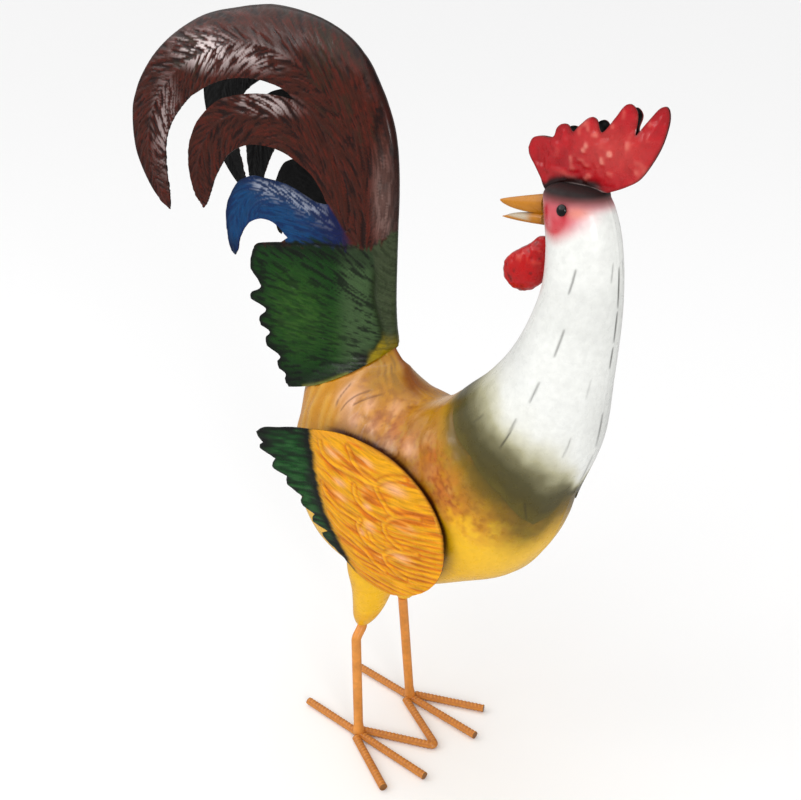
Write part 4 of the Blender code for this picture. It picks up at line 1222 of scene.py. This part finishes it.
    leaf = painted(len(flat), GREEN)
    bright = np.maximum(spot(flat, (-62, 308), (42, 46)), 0.6 * spot(flat, (-30, 300), (18, 40)))
    low = np.interp(x, [-80, -46, -17, 5], [262, 270, 284, 300])
    lobe_edge = [point for lobe in FLAP_LOBES for point in lobe]
    leaf = coats(
        leaf,
        (GREEN_LIGHT, bright * (0.35 + 0.65 * ease((fleck + 0.3) / 0.6)) * 0.8),
        (GREEN_GREY, ease((x + 34) / 18) * 0.8),
        (GREEN_DARK, ease((-0.02 - stroke) / 0.4) * (0.8 - 0.5 * bright)),
        (GREEN_DARK, ease((low + 10 - z) / 16) * 0.6),
        ((38, 32, 36), spot(flat, (-5, 289), (12, 8)) * 0.8),
        (GREEN_DARK, ease((z - 344) / 10) * 0.55),
        ((26, 30, 28), edge_of(flat, lobe_edge, 3.6) * 0.95),
        ((70, 78, 58), strip * 0.8),
        ((40, 46, 34), strip * ease(stroke / 0.4) * 0.5),
        ((40, 48, 22), trough * 0.85),
        (LIP, edge_of(flat, FLAP_BOTTOM_EDGE[:4], 1.3) * 0.9),
        (OLIVE_YELLOW, ease((312 - z) / 14) * strip * (0.6 + 0.4 * (fleck > 0.1))),
        (OLIVE_YELLOW, ease((298 - z) / 6) * ease((x + 6) / 8)),
    )
    paint = mixed(paint, leaf, green)
    paint = mixed(paint, (28, 26, 30), top_edge * 0.8 * ease((-12 - x) / 10))
    strokes = np.stack([down / 10, over / 0.75, which * 7.0], axis=1)
    return relief, paint, strokes


def edge_of(points, line, width):
    return bell(distance_to_line(points, np.asarray(line, float))[0] / width)


WING_RIM = [
    (-10, 251.2), (4, 254), (16, 255.2), (28, 255.3), (40, 254.6), (50, 253), (60, 249.8), (70, 245.2),
    (80, 238.4), (88.5, 229.5), (94, 219.5), (96, 208), (95.6, 196), (92, 185), (85.5, 175.2), (76.5, 167),
    (65, 160), (54, 155.6), (42, 154), (30, 155.4), (20, 158.6),
]
WING_BOUNDARY = [
    (-18.5, 258), (-18.5, 247.8), (-18, 239.4), (-15.3, 227.5), (-12.5, 215.6), (-8.5, 202.5), (-3.2, 191),
    (4, 182), (12.3, 170), (19.5, 160.4), (24, 150),
]
QUILLS = [
    [
        (-10, 243.7), (-9, 239.3), (-4.7, 234.8), (3.7, 232.3), (13.3, 232), (23.4, 231.9), (33, 231.1),
        (41.8, 231.7),
    ],
    [(16.2, 247.9), (19.5, 244), (23, 239.2), (29.4, 236.1), (37.4, 234.2), (42.6, 232.3)],
    [(42.6, 232.3), (47.4, 236.3), (55.3, 240.6), (65.4, 242.7)],
    [(41.9, 231), (43.8, 227), (48.2, 222.5), (53.3, 218.2), (59, 215.9)],
    [(23.7, 224.4), (24.4, 219.1), (29.3, 213.9), (36.4, 211), (44.1, 210.2), (50.9, 210)],
    [(50.9, 208.9), (55.8, 213.6), (65.4, 218.3), (77.7, 221.1)],
    [(49.2, 207.6), (50.8, 201.8), (56.6, 197.6), (64.6, 195.1)],
    [(29.1, 202.4), (26.6, 197.7), (28.6, 191.9), (34.6, 187.7), (42.4, 185.8), (50.2, 186.1)],
    [(36.9, 196.1), (40.2, 191.5), (48.7, 189.5)],
    [(49.3, 185), (55.4, 189.8), (65.4, 193.3), (76.5, 196.4)],
    [(48.4, 184.6), (50.6, 179.5), (57.9, 175.9), (65.9, 174.1)],
    [(-1.9, 194.7), (8.6, 188.5), (21.6, 184.3), (32.3, 180.6), (39, 175.9), (49, 171.9)],
    [(-7, 214.8), (-2.1, 208), (7.6, 203.1), (19, 201.9), (26.3, 201.3)],
]


RIM_LINE = [
    (-30, 238), (-9.9, 244.2), (2.7, 249.7), (17.3, 251.5), (31.5, 252), (48.5, 250.6), (61.7, 247.4),
    (73.1, 241.5), (82, 234), (88.5, 226), (92, 216),
]
LOBES = [
    ((4, 240), (13, 5)), ((32, 243), (12, 5)), ((58, 234), (15, 6)), ((36, 223), (8, 8)),
    ((10, 222), (10, 4)), ((66, 211.5), (14, 5)), ((38, 201), (8, 6)), ((64, 189), (15, 5)),
    ((36, 214.5), (6, 3.5)), ((10, 212), (12, 4)), ((30, 194), (5, 4)), ((45, 180), (8, 3)),
]


def wing_finish(flat, outline):
    """Relief, colour and stroke direction of a wing's outer face."""
    x, z = flat.T
    apart = from_edge(flat, outline)
    boundary_x = x_at(z, WING_BOUNDARY)
    inside = ease((x - boundary_x) / 4)
    slope = np.interp(np.arange(-80.0, 101.0), [-20, 10, 40, 70, 100], [0.42, 0.3, 0.06, -0.14, -0.24])
    fall = np.interp(x, np.arange(-80.0, 101.0), np.cumsum(slope))
    wave = 0.8 * noise(flat, 14.0, 80)
    over = z + fall + wave
    rim_z = np.interp(x, *zip(*RIM_LINE))
    rim_top = ease((z - rim_z) / 1.6)
    coarse = woven(x / 19, over / 3.0, 81)
    medium = woven(x / 13, over / 1.9, 82)
    rows = np.sin(2 * math.pi * over / 3.7 + 1.5 * noise(flat, 22.0, 84))
    lower_right = ease((x - 30) / 30) * ease((222 - z) / 20)
    lower_right = np.maximum(lower_right, ease((186 - z) / 14) * ease((x - 14) / 20))
    streak = (0.75 * coarse + 0.55 * medium) * (1 - 0.5 * lower_right) + 0.45 * rows * lower_right
    thin = strokes_of(x, over, 16.0, 1.5, 83)
    gaps = [distance_to_line(flat, smooth_line(line, 5))[0] for line in QUILLS]
    quill = np.maximum.reduce([bell(gap / 1.15) for gap in gaps])
    groove = np.maximum.reduce([bell((gap - 2.1) / 0.95) for gap in gaps]) * (1 - quill)
    field = inside * (1 - rim_top)
    relief = field * (0.5 * streak * (1 - quill) + 0.4 * quill - 0.4 * groove)
    relief += 0.35 * rim_top * inside
    leafy = 1 - inside
    blade_run, blade_over = x * 0.97 + z * 0.26, z * 0.97 - x * 0.26
    blade = strokes_of(blade_run, blade_over, 12.0, 1.6, 91)
    relief += leafy * 0.3 * blade
    relief -= 0.3 * bell(apart / 0.8)

    paint = painted(len(flat), (222, 156, 34))
    paint = coats(
        paint,
        ((214, 124, 34), field * ease((-streak + 0.1) / 0.45) * 0.85),
        ((180, 88, 26), field * ease((-streak - 0.25) / 0.35) * 0.6),
        ((190, 98, 28), field * groove * 0.6),
    )
    # Painted highlights in the middle of the shield's lobes.
    lobe_highlight = np.maximum.reduce([spot(flat, centre, reach) for centre, reach in LOBES])
    paint = coats(
        paint,
        ((232, 168, 122), field * lobe_highlight * ease((streak + 0.45) / 0.6) * 0.9),
        ((234, 166, 44), field * quill * 0.6),
        ((222, 150, 42), inside * rim_top * 0.8),
        ((196, 140, 50), inside * ease((12 - (x - boundary_x)) / 12) * 0.5),
    )
    leaf = mixed(painted(len(flat), (34, 70, 38)), (52, 92, 52), ease((blade - 0.05) / 0.5) * 0.6)
    tips = bell(apart / 5.0) * ease((0.3 - blade) / 0.5)
    soot = bell((x - boundary_x + 3.5) / 5.5)
    leaf = coats(
        leaf,
        ((18, 30, 24), ease((-0.1 - blade) / 0.4) * 0.6),
        ((18, 22, 22), tips * 0.85),
        ((20, 24, 24), ease((-50 - x) / 18) * 0.85),
        ((22, 28, 24), bell(apart / 1.8) * 0.8),
        ((18, 20, 20), soot * 0.92),
        ((18, 20, 20), ease((180 - z) / 12) * leafy * 0.9),
    )
    paint = mixed(leaf, paint, ease((x - boundary_x + 2.6 + 1.2 * thin) / 6.5))
    dark_rim = bell(apart / 1.0) * ease((x - 10) / 30) * ease((z - 190) / 20)
    paint = mixed(paint, (110, 62, 22), dark_rim * 0.7)
    strokes = np.stack([x / 14, over / 1.6, x * 0], axis=1)
    green_run = np.stack([blade_run / 9, blade_over / 0.9, x * 0 + 5], axis=1)
    strokes = np.where((leafy > 0.5)[:, None], green_run, strokes)
    return relief, paint, strokes


def build_wing(side, material):
    runs = [smooth_run([WING_LOBES[0][0]] + WING_TOP_EDGE[:4] + WING_RIM, WING_STEP)]
    runs.append(resample([WING_RIM[-1], WING_BACK_END], WING_STEP)[1:])
    start = WING_BACK_END
    for lobe in [list(lobe)[::-1] for lobe in WING_LOBES][::-1]:
        runs.append(resample([start, lobe[0]], WING_STEP)[1:])
        runs.append(smooth_run(lobe, WING_STEP)[1:])
        start = lobe[-1]
    outline = spaced(np.vstack(runs))
    flat, faces = fill_outline(outline, lattice(outline, WING_STEP, WING_STEP * 0.55))
    if side > 0:
        flat[:, 1] -= FAR_WING_DROP * ease((flat[:, 1] - 228) / 26)
    depth = wing_depth(flat)
    relief, paint, strokes = wing_finish(flat, outline)
    build_sheet("wing", side, flat, faces, depth, relief, WING_SHEET, material, paint, strokes, INSIDE)


COMB_FOOT = [
    (157, 421.4), (151.7, 422.4), (145, 423.1), (138.5, 423.3), (133, 423), (128, 421.8), (124, 420.2),
    (121.3, 417.6),
]
COMB_FRONT = [(119.2, 419.7), (117.5, 423), (115.3, 426), (112.6, 429.6), (110.4, 432.3), (108.9, 434.9)]
COMB_TOP = [
    (108.3, 438), (110.7, 443), (116, 444.8), (123.8, 444.9), (126, 449.6), (129.1, 451.8), (132.5, 451.5),
    (135.6, 448.4), (139, 451.7), (144.8, 456.4), (149, 455.8), (152.6, 450), (159.4, 457.8), (164.2, 464.2),
    (167.8, 465.8), (171, 464), (172.6, 460), (172, 451.6), (175, 455.4), (179.5, 461), (183.4, 465.4),
    (186.5, 466.7), (188.6, 464.6), (189.1, 459), (186.8, 449), (182.3, 439.5), (176, 430.5), (168.5, 425.6),
    (160.8, 422.2),
]
COMB_MOUTH = [
    (112, 0), (120, 0.8), (128, 3.0), (138, 4.2), (150, 4.2), (158, 3.2), (165, 1.9), (172, 1.3), (180, 0.5),
    (190, 0),
]


def build_comb(side, material):
    """One comb sheet: both close at the front and back and stand apart over the middle points."""
    corners = COMB_TOP + COMB_FOOT + COMB_FRONT
    outline = resample(smooth_line(corners + corners[:1], 8), 0.7)[:-1]
    flat, faces = fill_outline(outline, lattice(outline, 0.75, 0.42))
    edge = from_edge(flat, outline)
    x, z = flat.T
    back = distance_to_line(flat, smooth_line(COMB_TOP[18:], 4))[0]
    shut = ease(back / 7) * ease((x - 110) / 16)
    mouth = np.interp(x, *zip(*COMB_MOUTH)) * ease((z - 428) / 16) * shut
    depth = 0.65 + (COMB_BASE_HALF_GAP + COMB_SHEET - 0.65 + COMB_BULGE * ease(edge / 9)) * shut + mouth
    # Each sheet keeps its place as seen from in front; the far points stay lower than the near ones.
    lift = 0.45 if side < 0 else np.interp(x, [150, 164], [-0.2, -0.9])
    flat = flat + np.stack([0.8 * mouth, lift * mouth], axis=1)
    hammer = 0.7 * noise(flat, 4.6, 21) + 0.45 * noise(flat, 2.6, 22)
    relief = 0.85 * hammer * ease(edge / 2.5)
    relief += 0.35 * bell((edge - 1.1) / 0.9)
    crease = beside(flat, [(119.5, 441), (118.5, 432), (121.5, 424)], 1.3)
    relief -= 0.5 * crease
    paint = mixed(painted(len(flat), RED), (156, 28, 38), ease((-0.1 - hammer) / 0.6) * 0.6)
    paint = coats(
        paint,
        # Painted highlights: a broad lighter patch over the upper back, lighter tops on the hammering and
        # pink glints on it.
        ((206, 88, 80), spot(flat, (162, 443), (34, 20)) * 0.38),
        ((224, 112, 100), ease((hammer - 0.05) / 0.7) * ease((x - 122) / 20) * 0.5),
        ((236, 158, 140), ease((hammer - 0.3) / 0.5) * spot(flat, (156, 441), (30, 15)) * 0.6),
        # Painted shade on the front lobe, where the sheet turns away from the light.
        ((150, 24, 34), spot(flat, (118, 432), (16, 22)) * 0.4),
        ((110, 18, 26), bell(edge / 0.9) * 0.7),
    )
    foot = sorted(COMB_FOOT)
    above = z - np.interp(x, *zip(*foot))
    # A thin pale line along the foot: a painted highlight where the rim at the comb's base catches the light.
    lip = bell(above / 0.55) * ease((x - 132) / 8) * ease((159 - x) / 4)
    paint = coats(
        paint,
        ((24, 16, 16), ease((5.6 - above) / 3.6) * ease((162 - x) / 12) * 0.96),
        ((176, 158, 156), lip * 0.8),
    )
    strokes = np.stack([x / 5, z / 5, x * 0], axis=1)
    build_sheet("comb", side, flat, faces, depth, relief, COMB_SHEET, material, paint, strokes, BLACK)


def capped(points, rings, sides, first, last):
    """A grid of rings whose ends are closed by fans to two more points."""
    faces = grid_faces(rings, sides).tolist()
    count = len(points)
    for k in range(sides):
        other = (k + 1) % sides
        faces.append([other, k, count])
        faces.append([(rings - 1) * sides + k, (rings - 1) * sides + other, count + 1])
    return np.vstack([points, first, last]), faces


def closed_loft(points, rings, sides):
    return capped(points, rings, sides, points[:sides].mean(axis=0), points[-sides:].mean(axis=0))


def build_beak(name, sections, material):
    rings, sides = 60, 40
    rows = np.repeat(smooth_values(sections, np.linspace(0, len(sections) - 1, rings)), sides, axis=0)
    turns = np.tile(turns_of(sides), rings)
    x, low, high, width = rows.T
    lower = name == "beak_lower"
    if lower:
        high = high + 0.9 * ease((x - 93) / 6) + 0.9 * ease((x - 110) / 8)
    z = (low + high) / 2 + (high - low) / 2 * np.sin(turns)
    points, faces = closed_loft(np.stack([x, width * np.cos(turns), z], axis=1), rings, sides)
    cloud = noise(points * (0.25, 1, 1), 3.0, 53)
    paint = mixed(painted(len(points), OCHRE), (176, 112, 34), ease((cloud + 0.1) / 0.7) * 0.5)
    paint = mixed(paint, (150, 92, 36), ease((points[:, 0] - 116) / 6) * 0.5)
    x, z = points[:, 0], points[:, 2]
    inner = 0.75 * ease((z - high.max() + 6.2) / 1.5) if lower else 0.3 * ease((404.6 - z) / 0.8)
    paint = mixed(paint, (190, 188, 170), inner * ease((116 - x) / 8))
    new_piece(name, points, faces, material, paint)


def build_wattle(material):
    rings, sides = 120, 110
    sections = WATTLE_SECTIONS + [(106.8, 358.6, 111.2, 359.0, 1.4)]
    rows = smoothed(smooth_values(sections, np.linspace(0, len(sections) - 1, rings)), 17)
    places = np.repeat(np.arange(rings), sides)
    turns = np.tile(turns_of(sides), rings)
    points = section_points(rows, places, turns)
    hammer = 0.6 * noise(points, 3.6, 33) + 0.5 * noise(points, 2.1, 34)
    points = points + grid_normals(points, rings, sides) * (0.6 * hammer)[:, None]
    points, faces = closed_loft(points, rings, sides)
    hammer = np.append(hammer, [0, 0])
    paint = mixed(painted(len(points), (178, 30, 34)), (110, 14, 20), ease((-0.05 - hammer) / 0.5) * 0.7)
    # Painted glints on the tops of the hammering, towards the top.
    paint = mixed(paint, (226, 96, 78), ease((hammer - 0.3) / 0.4) * ease((points[:, 2] - 372) / 16) * 0.7)
    new_piece("wattle", points, faces, material, paint)


def build_eye(side, material):
    middle, across, up, out = eye_frame()
    middle = middle + across * EYE_SHIFT[0] + up * EYE_SHIFT[1]
    rings, sides = 16, 40
    rise = np.repeat(np.linspace(0, math.pi / 2, rings)[:-1], sides)
    turns = np.tile(turns_of(sides), rings - 1)
    points = (
        middle
        + np.outer(np.cos(rise) * np.cos(turns), across) * EYE_WIDTH * EYE_SWELL / 2
        + np.outer(np.cos(rise) * np.sin(turns), up) * EYE_HEIGHT / 2
        + np.outer(np.sin(rise), out) * EYE_BULGE
    )
    points, faces = capped(points, rings - 1, sides, middle, middle + out * EYE_BULGE)
    if side > 0:
        points[:, 1] = -points[:, 1]
        faces = [face[::-1] for face in faces]
    node = "eye_right" if side < 0 else "eye_left"
    new_piece(node, points, faces, material, painted(len(points), BLACK))


# Rods.


def rod_piece(name, path, radii, material, ribs):
    """A rod along a path; a ribbed one has slanting lugs on both sides and a line along each."""
    sides = 32
    path = np.asarray(path, float)
    lengths = lengths_along(path)
    count = max(4, int(lengths[-1] / 0.35))
    places = np.linspace(0, lengths[-1], count)
    centre = np.stack([np.interp(places, lengths, path[:, k]) for k in range(3)], axis=1)
    if len(path) > 2:
        centre = smoothed(centre, 15)
    radius = np.interp(places, lengths, radii)
    along = np.gradient(centre, axis=0)
    along /= np.linalg.norm(along, axis=1)[:, None]
    flat = np.tile(np.array([0.0, 0.0, 1.0]), (count, 1))
    flat[np.abs(along[:, 2]) > 0.7] = (0.0, 1.0, 0.0)
    across = np.cross(along, flat)
    across /= np.linalg.norm(across, axis=1)[:, None]
    over = np.cross(across, along)
    turns = np.tile(turns_of(sides), count)
    at = np.repeat(places, sides)
    wave = np.cos(2 * math.pi * (at / 2.9 + np.sin(turns) * 0.5))
    lug = ease((wave + 0.1) / 0.7) * ease((0.92 - np.abs(np.cos(turns))) / 0.3)
    lug = np.maximum(lug, ease((np.abs(np.cos(turns)) - 0.93) / 0.05))
    ends = ease(np.minimum(at, lengths[-1] - at) / 0.5)
    swell = np.repeat(radius, sides) - ribs * (1 - lug)
    centre, across, over = [np.repeat(rows, sides, axis=0) for rows in (centre, across, over)]
    points = centre + (np.cos(turns) * swell)[:, None] * across
    points += (np.sin(turns) * swell)[:, None] * over
    points[:, 2] = np.maximum(points[:, 2], -TOE_HEIGHT)
    points, faces = closed_loft(points, count, sides)
    lug, ends = np.append(lug, [0, 0]), np.append(ends, [0, 0])
    cloud = ease((noise(points, 9.0, 63) + 0.1) / 0.8)
    tint = mixed(painted(len(points), COPPER), (196, 124, 56), cloud * 0.5)
    if ribs:
        tint = mixed(tint, (196, 130, 60), np.full(len(points), 0.6))
        tint = mixed(tint, (176, 104, 50), (1 - lug) * 0.6)
        tint = mixed(tint, (104, 74, 44), (1 - ends) * 0.7)
    new_piece(name, points, faces, material, tint)


def toe_gap(run, rise):
    """Distance from the middle rod to the start of a toe that leans away from it by the rise over the run."""
    lean = math.atan2(rise - 2 * TOE_RADIUS, run)
    return TOE_RADIUS + TOE_RADIUS * math.cos(lean) + GAP


def build_legs(material):
    for side in (-1, 1):
        name = "right" if side < 0 else "left"
        tip_x, tip_y, tip_z, _ = THIGH_SECTIONS[0]
        y = side * FOOT_HALF_SPACING
        foot = np.array([0, y, TOE_HEIGHT])
        tip = np.array([tip_x, side * tip_y, tip_z])
        upper = [tip]
        if side < 0:
            upper = [np.array(RIGHT_LEG_BEND), tip - np.array([0, 0, LEG_TOP_RUN]), tip]
        aim = (upper[0] - foot) / np.linalg.norm(upper[0] - foot)
        path = [foot - aim * 1.5, foot + aim * WELD_HEIGHT * 0.35, foot + aim * WELD_HEIGHT, *upper]
        radii = WELD_RADII + [LEG_RADIUS * LEG_SWELL] * (len(path) - 2)
        rod_piece("leg_" + name, path, radii, material, 0.0)
        path = [(-BACK_TOE, y, 0), (MIDDLE_TOE, y, 0)]
        rod_piece("toe_rod_" + name, path, [TOE_RADIUS] * 2, material, RIB)
        end_x, end_out = OUTER_TOE_END
        start_out = toe_gap(end_x - OUTER_TOE_START, end_out)
        start = np.array([OUTER_TOE_START, y + side * start_out, 0])
        end = np.array([end_x, y + side * end_out, 0])
        path = [start - (end - start) * 0.06, end]
        rod_piece("outer_toe_" + name, path, [TOE_RADIUS] * 2, material, RIB)
    start_out = toe_gap(INNER_TOE_TIP - INNER_TOE_START, FOOT_HALF_SPACING)
    start = np.array([INNER_TOE_START, FOOT_HALF_SPACING - start_out, 0.0])
    corner = np.array([INNER_TOE_TIP, 0.0, 0.0])
    aim = (corner - start) / np.linalg.norm(corner - start)
    bend = corner - aim * INNER_TOE_ROUNDING
    crest = np.array([(bend[0] + corner[0]) / 2, 0.0, 0.0])
    start = start - aim * 3.0
    path = [start, bend, crest, bend * (1, -1, 1), start * (1, -1, 1)]
    rod_piece("inner_toe_loop", path, [TOE_RADIUS] * 5, material, RIB)


# Camera, light and floor.


PICTURE_WIDTH = 801
FOCAL_LENGTH = 1080
CAMERA_PLACE = (447.0, -470.2, 547.0)
CAMERA_AZIMUTH = 42.5
CAMERA_PITCH = 23.92


def build_stage():
    world = bpy.data.worlds.new("studio")
    world.use_nodes = True
    backdrop = world.node_tree.nodes["Background"]
    backdrop.inputs["Color"].default_value = (1, 1, 1, 1)
    backdrop.inputs["Strength"].default_value = 0.42
    bpy.context.scene.world = world
    mesh = bpy.data.meshes.new("floor")
    reach = 40.0
    corners = [(-reach, -reach, 0), (reach, -reach, 0), (reach, reach, 0), (-reach, reach, 0)]
    mesh.from_pydata(corners, [], [(0, 1, 2, 3)])
    floor = bpy.data.objects.new("floor", mesh)
    bpy.context.scene.collection.objects.link(floor)
    material = bpy.data.materials.new("pale_floor")
    material.use_nodes = True
    shader = material.node_tree.nodes["Principled BSDF"]
    shader.inputs["Base Color"].default_value = (0.95, 0.95, 0.95, 1)
    shader.inputs["Roughness"].default_value = 0.6
    mesh.materials.append(material)
    floor.visible_glossy = False


def build_lights():
    lamps = [
        ("daylight", "SUN", (0, 0, 0), (0.32, 0.42, -1.0), 2.15, math.radians(100)),
        ("left", "AREA", (-1.3, -1.5, 1.3), (-0.05, 0.0, 0.35), 3, 0.5),
        ("right", "AREA", (1.9, -1.1, 1.0), (0.0, 0.0, 0.3), 14, 0.6),
    ]
    for name, kind, place, aim, power, extent in lamps:
        lamp = bpy.data.lights.new(name, kind)
        lamp.energy = power
        if kind == "SUN":
            lamp.angle = extent
        else:
            lamp.size = extent
        holder = bpy.data.objects.new(name, lamp)
        holder.location = place
        holder.rotation_mode = "QUATERNION"
        holder.rotation_quaternion = (Vector(aim) - Vector(place)).to_track_quat("-Z", "Y")
        bpy.context.scene.collection.objects.link(holder)


def build_camera():
    data = bpy.data.cameras.new("camera")
    data.sensor_width = 36.0
    data.lens = FOCAL_LENGTH * 36 / PICTURE_WIDTH
    data.clip_start = 0.01
    data.clip_end = 100
    camera = bpy.data.objects.new("camera", data)
    azimuth, pitch = math.radians(CAMERA_AZIMUTH), math.radians(CAMERA_PITCH)
    level = math.cos(pitch)
    ahead = Vector((-math.sin(azimuth) * level, math.cos(azimuth) * level, -math.sin(pitch)))
    camera.location = (np.array(CAMERA_PLACE) * MM + SHIFT).tolist()
    camera.rotation_mode = "QUATERNION"
    camera.rotation_quaternion = ahead.to_track_quat("-Z", "Y")
    bpy.context.scene.collection.objects.link(camera)
    bpy.context.scene.camera = camera


bpy.context.scene.view_settings.view_transform = "Standard"
build_camera()
build_stage()
build_lights()
sheet_paint = enamel("feather_enamel", coat=0.09, stroke=0.28, specular=0.2)
smooth_paint = enamel("smooth_enamel", stroke=0.05, bump=0.02)
rod_paint = enamel("rod_enamel", roughness=0.42, stroke=0.1, bump=0.03)
build_body(smooth_paint)
build_hackle(smooth_paint)
for side in (-1, 1):
    build_tail(side, sheet_paint)
    build_wing(side, sheet_paint)
    build_comb(side, smooth_paint)
    build_eye(side, smooth_paint)
build_beak("beak_upper", UPPER_BEAK, smooth_paint)
build_beak("beak_lower", LOWER_BEAK, smooth_paint)
build_wattle(smooth_paint)
build_legs(rod_paint)
